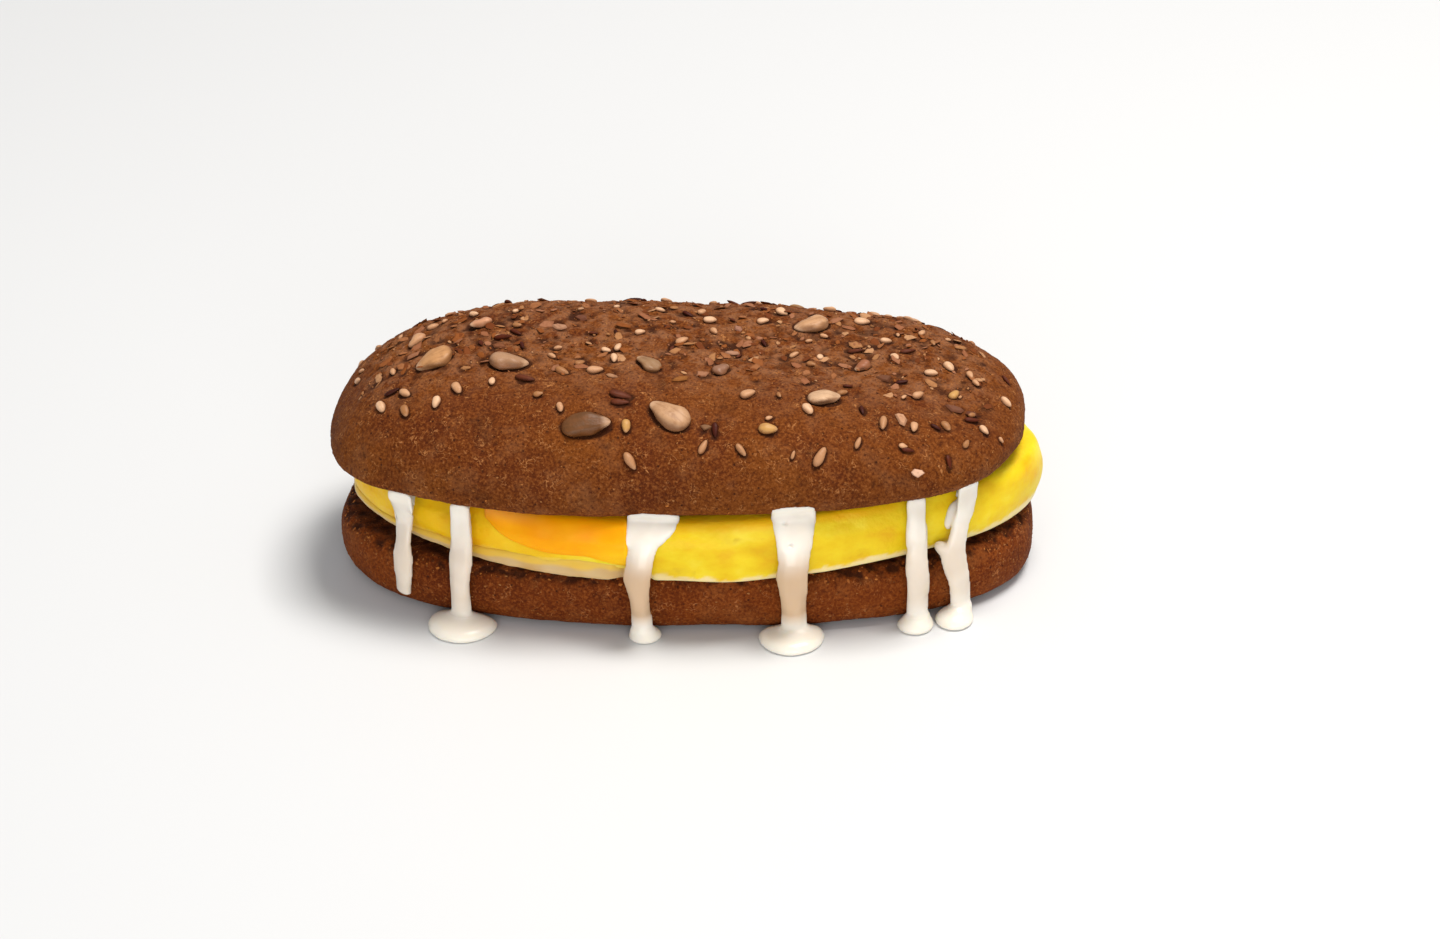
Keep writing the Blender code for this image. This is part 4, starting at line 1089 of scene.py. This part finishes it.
bran = {
    "thickness": (0.08, 0.16), "sink": 0.02, "tilt": 0.3,
    # Each kind's node, how many, between which heights, how large and in which tints
    "kinds": {
        "crown_bran": ("top_bun", 2600, (31.5, 60.0), (0.35, 0.9), "tints"),
        "rim_flecks": ("top_bun", 520, (30.7, 34.5), (0.35, 0.9), "torn"),
        "heel_bran": ("bottom_bun", 900, (1.5, 14.2), (0.35, 0.9), "tints"),
        "heel_crumbs": ("bottom_bun", 620, (12.2, 14.45), (0.5, 1.5), "torn"),
    },
    # This share of the crown's bran is sown from above onto a field, the rest from a ring towards the middle
    "fromAbove": 0.75, "field": ((-80.0, 78.0), (-39.0, 38.0)), "ringOut": (150.0, 100.0), "ringAim": 60.0,
    "look": {
        "roughness": 0.65, "gloss": 0.08, "mottle": 0.6, "toast": 0.3, "streak": 0.0, "tip": 0.0,
        "toasted": "#7d4a26", "pale": "#9c6a44", "side": 0.3, "shade": "#6b3a18",
    },
    "tints": ("#8a5224", "#945d2e", "#7c4820", "#9c683a", "#6f401c"),
    "torn": ("#9c5a28", "#b06a30", "#7a3d15", "#4a210c", "#5c2b10", "#8a4c20"),  # where the crust is cut
}
sowing = {
    "seed": 11, "tiltSeen": 0.1, "tiltSown": 0.15, "evenLength": (0.85, 1.15), "evenWidth": (0.94, 1.06),
    "along": (-0.94, 0.94), "across": (-0.2, 0.97), "steepest": 0.25,
    "pointing": 2.5,  # pixels before and behind a seed's middle that give its direction
    "patternStep": 7.0,  # from one body's pattern to the next one's
    # sideTo: up to this share of its height its sides take painted shade
    "tipFrom": 0.55, "tipRun": 0.4, "sideTo": 0.85,
    # The crust sinks round a seed and is painted with shade there: how far below it, how wide, and how it
    # fades
    "shade": 0.35, "gap": 0.35, "reach": 1.15, "fade": 0.25, "near": 3.0, "downhill": (0.0, -0.25, -1.0),
}


# One seed lying along X: rows of points from its blunt end to its point
def seedBody(size, kind, rng):
    length, width, thickness = size
    uneven = kind["uneven"]
    wobble = [rng.uniform(-uneven, uneven) for _ in range(3)]
    shift = rng.uniform(0.0, 90.0)
    points = [(-length / 2.0, 0.0, 0.0)]
    rows, sides = kind["rows"], kind["sides"]
    for i in range(1, rows):
        along = -math.cos(math.pi * i / rows)
        swell = math.sqrt(1.0 - along * along) * (1.0 - kind["point"] * along)
        for j in range(sides):
            angle = math.tau * j / sides
            c, s = math.cos(angle), math.sin(angle)
            ridge = 1.0 + wobble[0] * math.sin(3.0 * angle) + wobble[1] * math.cos(2.0 * angle + 3.0 * along)
            ridge += 2.0 * uneven * lump(Vector((1.6 * along, 0.8 * c, 0.8 * s)), 1.0, shift)
            flat = (abs(c) ** kind["flat"] + abs(s) ** kind["flat"]) ** (-1.0 / kind["flat"])
            across = width / 2.0 * swell * c * flat * ridge
            up = thickness / 2.0 * swell * s * flat * ridge
            points.append((length / 2.0 * along + wobble[2] * across, across, up))
    points.append((length / 2.0, 0.0, 0.0))
    faces = [(0, 1 + (j + 1) % sides, 1 + j) for j in range(sides)]
    for i in range(rows - 2):
        for j in range(sides):
            a, b = 1 + i * sides + j, 1 + i * sides + (j + 1) % sides
            faces.append((a, b, b + sides, a + sides))
    last = len(points) - 1
    faces += [(last, last - sides + j, last - sides + (j + 1) % sides) for j in range(sides)]
    return points, faces


# A flat broken bit: an uneven outline, thick in its middle. Its heights are shares of its thickness.
chipForm = {
    "corners": (5, 8), "turn": (-0.3, 0.3), "reach": (0.65, 1.15), "width": 0.62, "inner": 0.72,
    "rise": (0.35, 0.6), "peak": 0.55, "foot": -0.4,
}


def chipBody(size, thickness, rng):
    corners = rng.randint(*chipForm["corners"])
    outline = []
    for i in range(corners):
        angle = math.tau * (i + rng.uniform(*chipForm["turn"])) / corners
        reach = size / 2.0 * rng.uniform(*chipForm["reach"])
        outline.append((reach * math.cos(angle), chipForm["width"] * reach * math.sin(angle)))
    inner, deep = chipForm["inner"], chipForm["foot"] * thickness
    points = [(x, y, 0.0) for x, y in outline]
    points += [(inner * x, inner * y, thickness * rng.uniform(*chipForm["rise"])) for x, y in outline]
    points += [(inner * x, inner * y, deep) for x, y in outline]
    points += [(0.0, 0.0, thickness * chipForm["peak"]), (0.0, 0.0, deep)]
    faces = []
    for i in range(corners):
        j = (i + 1) % corners
        faces.append((i, j, corners + j, corners + i))
        faces.append((j, i, 2 * corners + i, 2 * corners + j))
        faces.append((corners + i, corners + j, 3 * corners))
        faces.append((2 * corners + j, 2 * corners + i, 3 * corners + 1))
    return points, faces


# Many bodies as one mesh. Each point keeps its body's tint, where in the body it lies and how near it is to
# the tip and the sides.
def meshOfMany(name, bodies):
    points, faces, tints, insides, tips, sides = [], [], [], [], [], []
    for number, ((body, corners), turned, tint) in enumerate(bodies):
        first = len(points)
        points += [turned @ Vector(point) for point in body]
        faces += [[first + i for i in face] for face in corners]
        tints += [hexColour(tint)] * len(body)
        reach, top = max(point[0] for point in body), max(point[2] for point in body)
        for x, y, z in body:
            insides.append((x, y, z + sowing["patternStep"] * number))
            tips.append(smoothStep((x / reach - sowing["tipFrom"]) / sowing["tipRun"]))
            # Painted shade: full from the middle of its height down, none on its top
            sides.append(1.0 - smoothStep(z / top / sowing["sideTo"]))
    mesh = newMesh(name, points, faces)
    for kept, kind, field, values in (
        ("tint", "FLOAT_COLOR", "color", tints), ("inBody", "FLOAT_VECTOR", "vector", insides),
    ):
        layer = mesh.attributes.new(kept, kind, "POINT")
        layer.data.foreach_set(field, np.array(values, np.float32).ravel())
    keepValues(mesh, "tip", tips)
    keepValues(mesh, "side", sides)
    return mesh


# How to lay a body on a surface: flat against its slope at a point, along a direction and a little tilted
def layOn(hit, normal, along, sink, tilt=0.0, rng=None):
    across = normal.cross(along).normalized()
    along = across.cross(normal)
    turned = Matrix((along, across, normal)).transposed().to_4x4()
    if tilt:
        for axis in ("X", "Y"):
            turned = turned @ Matrix.Rotation(rng.uniform(-tilt, tilt), 4, axis)
    return Matrix.Translation(hit - normal * sink) @ turned


# A random direction that doesn't point out of the surface
def anyWay(normal, rng):
    turn = rng.uniform(0.0, math.tau)
    along = Vector((math.cos(turn), math.sin(turn), 0.0))
    return along if abs(normal.dot(along)) < 0.95 else Vector((-along.y, along.x, 0.0))


# Lays a body where the picture shows it, its point the way that the picture shows
def laySeen(surface, x, y, degrees, sink, rng):
    hit, normal = seenAt(surface, x, y)
    step, turn = sowing["pointing"], math.radians(degrees)
    c, s = step * math.cos(turn), step * math.sin(turn)
    ahead, behind = seenAt(surface, x + c, y + s)[0], seenAt(surface, x - c, y - s)[0]
    return layOn(hit, normal, (ahead - behind).normalized(), sink, sowing["tiltSeen"], rng)


# X and Y of a random place on the crown, within shares of its half length and half width
def anyPlace(kind, rng):
    x = crown["centre"][0] + rng.uniform(*kind["along"]) * crown["halfLength"]
    y = crown["centre"][1] + rng.uniform(*kind["across"]) * crown["halfWidth"]
    return x, y


def fromAbove(surface, x, y):
    return surface.ray_cast(Vector((x, y, farOut)), Vector((0.0, 0.0, -1.0)))[:2]


# Random places on the side of the crown that the camera doesn't see
def sownPlaces(surface, kind, rng, taken):
    position = cameraPlace()[0]
    places = []
    while len(places) < kind["sown"]:
        hit, normal = fromAbove(surface, *anyPlace(sowing, rng))
        if hit is None or normal.z < sowing["steepest"]:
            continue
        if normal.dot((position - hit).normalized()) > kind["hidden"]:
            continue
        if any((hit - place).length < kind["room"] for place in taken):
            continue
        taken.append(hit)
        places.append((hit, normal))
    return places


def sowSeeds(surface, rng):
    taken, pressed = [], []
    sesamePlaces = [(*place, *sesame["tones"][tone]) for tone in sesame["tones"] for place in sesame[tone]]
    flaxPlaces = [(*place, rng.choice(flax["tints"]), flax["slim"]) for place in flax["dark"]]
    for name, kind, finish, seen in (
        ("sunflower_kernels", kernels, "hulledSunflowerKernel", kernels["places"]),
        ("sesame_seeds", sesame, "toastedSesame", sesamePlaces),
        ("flax_seeds", flax, "glossyFlax", flaxPlaces),
    ):
        bodies = []
        for x, y, degrees, length, tint, slim in seen:
            length *= pixelSize
            size = (length, length * slim * rng.uniform(*sowing["evenWidth"]), length * kind["thick"])
            turned = laySeen(surface, x, y, degrees, kind["sink"] * size[2], rng)
            bodies.append((seedBody(size, kind, rng), turned, tint))
            pressed.append((turned, size, kind["pressed"]))
        for hit, normal in sownPlaces(surface, kind, rng, taken):
            length = kind["length"] * rng.uniform(*sowing["evenLength"])
            size = (length, length * kind["slim"], length * kind["thick"])
            turned = layOn(hit, normal, anyWay(normal, rng), kind["sink"] * size[2], sowing["tiltSown"], rng)
            bodies.append((seedBody(size, kind, rng), turned, rng.choice(kind["tints"])))
            pressed.append((turned, size, kind["pressed"]))
        addPiece(name, meshOfMany(name, bodies), toastedSeed(finish, kind["look"]), "top_bun")
    return pressed


def sowChips(surface, rng):
    bodies, pressed = [], []
    for x, y, degrees, length, tint in chips["bits"]:
        length *= pixelSize
        turned = laySeen(surface, x, y, degrees, 0.0, rng)
        size = chips["bitSize"] * length
        bodies.append((chipBody(size, chips["bitThickness"] * length, rng), turned, tint))
        pressed.append((turned, (size, chips["bitWidth"] * length), chips["pressed"]))
    while len(bodies) < chips["count"]:
        x, y = anyPlace(chips, rng)
        if rng.random() > smoothStep((y - chips["crest"]) / chips["crestRun"] + 0.5):
            continue
        hit, normal = fromAbove(surface, x, y)
        if hit is None or normal.z < chips["steepest"]:
            continue
        size = lerp(*chips["size"], rng.random() ** chips["sizePower"])
        turned = layOn(hit, normal, anyWay(normal, rng), chips["sink"], chips["tilt"], rng)
        chip = chipBody(size, rng.uniform(*chips["thickness"]), rng)
        bodies.append((chip, turned, rng.choice(chips["tints"])))
        pressed.append((turned, (size, chipForm["width"] * size), chips["pressed"]))
    finish = toastedSeed("crackedGrain", chips["look"])
    addPiece("grain_chips", meshOfMany("grainChips", bodies), finish, "top_bun", angular=True)
    return pressed


# The crust sinks a little round each seed, most at its lower side, and the sunk ring is painted with shade
# where its relief is lowered
def pressIn(mesh, pressed):
    points = pointsOf(mesh)
    normals = np.array([v.vector for v in mesh.vertex_normals])
    depths = np.zeros(len(points))
    for turned, size, depth in pressed:
        along, across, out = (turned.to_3x3().col[i].normalized() for i in range(3))
        down = Vector(sowing["downhill"])
        down = (down - out * down.dot(out)).normalized()
        away = points - np.array(turned.translation + down * sowing["shade"])
        lengthwise = away @ np.array(along) / (0.5 * size[0] + sowing["gap"])
        sideways = away @ np.array(across) / (0.5 * size[1] + sowing["gap"])
        near = np.clip((sowing["reach"] - np.hypot(lengthwise, sideways)) / sowing["fade"], 0.0, 1.0)
        near *= np.abs(away @ np.array(out)) < sowing["near"]
        depths = np.maximum(depths, depth * near * near * (3.0 - 2.0 * near))
    points -= normals * depths[:, None]
    movePoints(mesh, points)
    # Lowering the relief paints shade into the sunk ring
    layer = mesh.attributes["relief"]
    relief = np.empty(len(points), np.float32)
    layer.data.foreach_get("value", relief)
    layer.data.foreach_set("value", relief - depths.astype(np.float32))


# Bran flecks all over both crusts, along random rays to the middle
def sowBran(crownSurface, heelSurface, rng):
    material = toastedSeed("branFlake", bran["look"])
    surfaces = {"top_bun": crownSurface, "bottom_bun": heelSurface}
    for name, (node, count, heights, sizes, tints) in bran["kinds"].items():
        surface, bodies = surfaces[node], []
        while len(bodies) < count:
            if name == "crown_bran" and rng.random() < bran["fromAbove"]:
                x, y = (rng.uniform(*ends) for ends in bran["field"])
                hit, normal = fromAbove(surface, x, y)
            else:
                angle = rng.uniform(0.0, math.tau)
                height = rng.uniform(*heights)
                length, width = bran["ringOut"]
                start = Vector((length * math.cos(angle), width * math.sin(angle), height))
                way = (Vector((bran["ringAim"] * math.cos(angle), 0.0, height)) - start).normalized()
                hit, normal = surface.ray_cast(start, way)[:2]
            if hit is None or not heights[0] < hit.z < heights[1]:
                continue
            size = lerp(*sizes, rng.random() ** 2)
            turned = layOn(hit, normal, anyWay(normal, rng), bran["sink"], bran["tilt"], rng)
            flake = chipBody(size, rng.uniform(*bran["thickness"]), rng)
            bodies.append((flake, turned, rng.choice(bran[tints])))
        addPiece(name, meshOfMany(name, bodies), material, node)


# White sauce: the drips are rebuilt fine and smooth from the solid, the hidden spread is kept as it is

sauce = {
    "voxel": 0.32, "smoothing": 8, "even": 0.5, "spreadFrom": -24.0,
    "swell": 0.14, "wave": 0.05, "waveSize": 3.0,
    # The drips are rounder where they lap over the filling, and rounder and fuller at their feet
    "softAbove": 24.0, "softRun": 3.0, "softRounds": 22, "footHeight": 4.5, "footRun": 1.5, "footRounds": 70,
    "footSwell": 0.75, "footSwellRun": 2.0, "floorRun": 0.5,
    # Where each drip laps over the crown's rim: its ends in X below and at its top, how far it rises above
    # the cut face at its left and its right, and how far below the cut face it joins the drip
    "licks": (
        ((-63.7, -60.4), (-65.4, -59.6), (1.2, 0.8), 9.5),
        ((-51.0, -46.2), (-50.9, -46.3), (1.1, 1.0), 11.0),
        ((-12.2, -3.4), (-11.2, 0.9), (2.0, 1.4), 5.2),
        ((22.7, 29.8), (20.5, 31.0), (3.2, 3.2), 7.0),
        ((50.8, 55.0), (50.6, 55.2), (1.3, 1.3), 10.0),
        ((61.4, 65.8), (62.2, 66.9), (1.5, 1.5), 8.0),
    ),
    "lickGrid": (22, 9), "lickDepth": (0.9, 0.55),  # into the crust and out of it
    "lickRound": 0.7, "lickThins": (0.6, 0.45), "lickFrom": 0.7, "lickTo": 0.6, "lickFace": 0.5,
    "dripDepth": (1.0, 0.25), "dripAim": 0.8, "dripReach": 9.0,
    # It's thin between these heights, most in its two wide drips
    "thin": (3.5, 8.0, 17.5, 26.0), "thinFrom": (-30.0, 40.0), "thinShares": (0.9, 0.3),
    "dimples": ((785, 524), (791, 546)), "dimpleSize": 0.75, "dimpleDepth": 0.5,
    # Dabs beside the last drip, by the picture's pixels: X, Y, turn, length and width, and whether it lies
    # on the egg
    "dabs": ((951, 515, 100, 30, 13, True), (945, 551, 34, 25, 14, False)), "dabDepth": 1.0,
    "dabAside": (10.0, 4.0),  # the drip's face is read this many pixels to the right and down
    "dabBack": 0.5,
    "dabBody": {"rows": 14, "sides": 20, "point": 0.0, "flat": 2.0, "uneven": 0.08},
    # Painted light: the pools are drawn whiter up to this height
    "poolTop": 4.5, "poolRun": 2.0,
    "look": {
        "deep": "#e6ddd0", "light": "#eee7dc", "thin": "#caa882", "pool": "#efe8db",
        "cloudSize": 7.0, "rippleSize": 2.6,
    },
}


def fromFront(surface, x, z):
    return surface.ray_cast(Vector((x, -farOut, z)), Vector((0.0, 1.0, 0.0)))[0]


# One lick of sauce from the face of its drip up over the crown's rim
def makeLick(lick, crownSurface, fillingSurface, dripSurface):
    below, top, rises, fall = lick
    rows, columns = sauce["lickGrid"]
    inside, outside = sauce["lickDepth"]
    sunk, proud = sauce["dripDepth"]
    thinAside, thinAbove = sauce["lickThins"]
    middle = lerp(*below, 0.5)
    inner, outer = [], []
    for i in range(rows):
        up = i / (rows - 1)
        low, high = [], []
        for j in range(columns):
            side = j / (columns - 1)
            x = lerp(lerp(*below, side), lerp(*top, side), 1.0 - (1.0 - up) ** 2)
            across = abs(2.0 * side - 1.0) ** 4
            seat = seatHeight(x)
            bottom, crest = seat - fall, seat + lerp(*rises, side) - sauce["lickRound"] * across
            z = lerp(bottom, crest, up)
            rim = fromFront(crownSurface, x, max(z, seat + sauce["lickFrom"])).y
            drip = fromFront(dripSurface, lerp(middle, x, sauce["dripAim"]), bottom)
            drip = drip.y if drip and drip.y < rim + sauce["dripReach"] else rim
            raised = smoothStep((z - bottom) / (seat + sauce["lickTo"] - bottom))
            full = outside * (1.0 - thinAside * across) * (1.0 - thinAbove * up**3)
            low.append((x, lerp(drip + sunk, rim + inside, raised), z))
            filling = fromFront(fillingSurface, x, z)
            lapping = filling.y - full * smoothStep(up / sauce["lickFace"]) if filling else rim
            high.append((x, min(lapping, lerp(drip + proud, rim - full, raised)), z))
        inner.append(low)
        outer.append(high)
    return meshFromSheet("lick", inner, outer)


# Evens a mesh out, each point by its own share
def softenMesh(mesh, shareAt, rounds):
    points = pointsOf(mesh)
    count = len(points)
    edges = np.empty(len(mesh.edges) * 2, np.int32)
    mesh.edges.foreach_get("vertices", edges)
    a, b = edges.reshape(-1, 2).T
    neighbours = np.bincount(a, minlength=count) + np.bincount(b, minlength=count)
    shares = np.array([shareAt(v.co) for v in mesh.vertices])[:, None]
    for _ in range(rounds):
        total = [np.bincount(a, points[b, k], count) + np.bincount(b, points[a, k], count) for k in range(3)]
        points += shares * (np.array(total).T / neighbours[:, None] - points)
    movePoints(mesh, points)


# A flat dab of sauce where the picture shows it, on the egg or at the height of its drip's face
def makeDab(dab, fillingSurface, dripSurface):
    x, y, degrees, length, width, onEgg = dab
    position, across, upward, away = cameraPlace()
    if onEgg:
        hit, normal = seenAt(fillingSurface, x, y)
    else:
        right, down = sauce["dabAside"]
        beside = seenAt(dripSurface, x + right, y + down)[0]
        back = Vector((0.0, sauce["dabBack"], 0.0))
        hit, normal = beside - across * right * pixelSize + upward * down * pixelSize + back, away
    c, s = math.cos(math.radians(degrees)), math.sin(math.radians(degrees))
    turned = layOn(hit, normal, across * c - upward * s, 0.0)
    size = (length * pixelSize, width * pixelSize, 2.0 * sauce["dabDepth"])
    points, faces = seedBody(size, sauce["dabBody"], random.Random(x))
    return newMesh("dab", [turned @ Vector(point) for point in points], faces)


def sauceSolid():
    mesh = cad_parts["sauce"].data.copy()
    mesh.transform(Matrix.Scale(1.0 / mm, 4))
    return mesh


def joinMeshes(name, meshes):
    return newMesh(name, *gathered(meshes))


# The drips, or the spread behind them, cut off the solid as a closed object
def cutSauce(drips):
    piece = bpy.data.objects.new("saucePart", sauceSolid())
    bpy.context.scene.collection.objects.link(piece)
    bpy.context.view_layer.objects.active = piece
    for other in bpy.context.selected_objects:
        other.select_set(False)
    piece.select_set(True)
    bpy.ops.object.mode_set(mode="EDIT")
    bpy.ops.mesh.select_all(action="SELECT")
    bpy.ops.mesh.remove_doubles(threshold=0.001)
    bpy.ops.mesh.bisect(
        plane_co=(0.0, sauce["spreadFrom"], 0.0), plane_no=(0.0, 1.0, 0.0), use_fill=True,
        clear_outer=drips, clear_inner=not drips,
    )
    bpy.ops.object.mode_set(mode="OBJECT")
    return piece


# The drips with their licks and dabs as one fine mesh, soft where they lap over and full at their feet
def makeDrips(crownSurface, fillingSurface):
    dripSurface = surfaceOf(sauceSolid())
    piece = cutSauce(drips=True)
    added = [makeLick(lick, crownSurface, fillingSurface, dripSurface) for lick in sauce["licks"]]
    added += [makeDab(dab, fillingSurface, dripSurface) for dab in sauce["dabs"]]
    piece.data = joinMeshes("drips", [piece.data] + added)
    remesh = piece.modifiers.new("fine", "REMESH")
    remesh.mode = "VOXEL"
    remesh.voxel_size = sauce["voxel"]
    bpy.context.view_layer.update()
    mesh = bpy.data.meshes.new_from_object(piece.evaluated_get(bpy.context.evaluated_depsgraph_get()))
    bpy.data.objects.remove(piece, do_unlink=True)

    def atTop(place):
        return sauce["even"] * smoothStep((place.z - sauce["softAbove"]) / sauce["softRun"])

    def atFoot(place, most, run):
        low = smoothStep((sauce["footHeight"] - place.z) / run)
        return most * low * smoothStep(place.z / sauce["floorRun"])

    softenMesh(mesh, lambda place: sauce["even"], sauce["smoothing"])
    softenMesh(mesh, atTop, sauce["softRounds"])
    softenMesh(mesh, lambda place: atFoot(place, sauce["even"], sauce["footRun"]), sauce["footRounds"])
    raiseSurface(mesh, lambda place, normal: (
        sauce["swell"] + sauce["wave"] * lump(place, sauce["waveSize"], 1.0)
        + atFoot(place, sauce["footSwell"], sauce["footSwellRun"])
    ))
    surface = surfaceOf(mesh)
    holes = [seenAt(surface, *dimple)[0] for dimple in sauce["dimples"]]
    raiseSurface(mesh, lambda place, normal: -sauce["dimpleDepth"] * max(
        smoothStep(1.0 - (place - hole).length / sauce["dimpleSize"]) for hole in holes
    ))
    return mesh


def makeSauce(crownSurface, fillingSurface):
    drips, spread = makeDrips(crownSurface, fillingSurface), cutSauce(drips=False)
    mesh = joinMeshes("whiteSauce", [drips, spread.data])
    bpy.data.objects.remove(spread, do_unlink=True)
    start, low, high, end = sauce["thin"]
    left, right = sauce["thinFrom"]
    wide, narrow = sauce["thinShares"]
    thins, pools = [], []
    for x, _, z in (vertex.co for vertex in mesh.vertices):
        share = smoothStep((end - z) / (end - high)) * smoothStep((z - start) / (low - start))
        thins.append(share * (wide if left < x < right else narrow))
        # Painted light on the pools
        pools.append(smoothStep((sauce["poolTop"] - z) / sauce["poolRun"]))
    keepValues(mesh, "thin", thins)
    keepValues(mesh, "pool", pools)
    return mesh


bpy.context.scene.view_settings.view_transform = "Standard"
addCamera()
addStudio()
print("camera and studio ready")

heelMesh = makeHeel()
heelSurface = surfaceOf(heelMesh)
heelFinish = bakedRyeCrust("bakedRyeCrustHeel", heel["look"])
addPiece("heel_crust", heelMesh, heelFinish, "bottom_bun")
whiteFinish = meltedCheese("meltedPaleCheese", white["look"])
addPiece("pale_cheese_slice", makeWhiteCheese(), whiteFinish, "white_cheese")
eggMesh = makeEgg()
cheddarMesh = makeCheddar()
fillingSurface = surfaceOf(eggMesh, cheddarMesh)
addPiece("egg_patty", eggMesh, softCookedEgg(egg["look"]), "egg")
cheddarFinish = meltedCheese("meltedCheddar", cheddar["look"])
addPiece("cheddar_slice", cheddarMesh, cheddarFinish, "cheddar")
crownMesh = makeCrown()
crownSurface = surfaceOf(crownMesh)
sauceMesh = makeSauce(crownSurface, fillingSurface)
addPiece("cream_sauce", sauceMesh, creamSauce(sauce["look"]), "sauce")
rng = random.Random(sowing["seed"])
pressIn(crownMesh, sowSeeds(crownSurface, rng) + sowChips(crownSurface, rng))
sowBran(surfaceOf(crownMesh), heelSurface, rng)
crownFinish = bakedRyeCrust("bakedRyeCrustCrown", crown["look"])
addPiece("crown_crust", crownMesh, crownFinish, "top_bun")
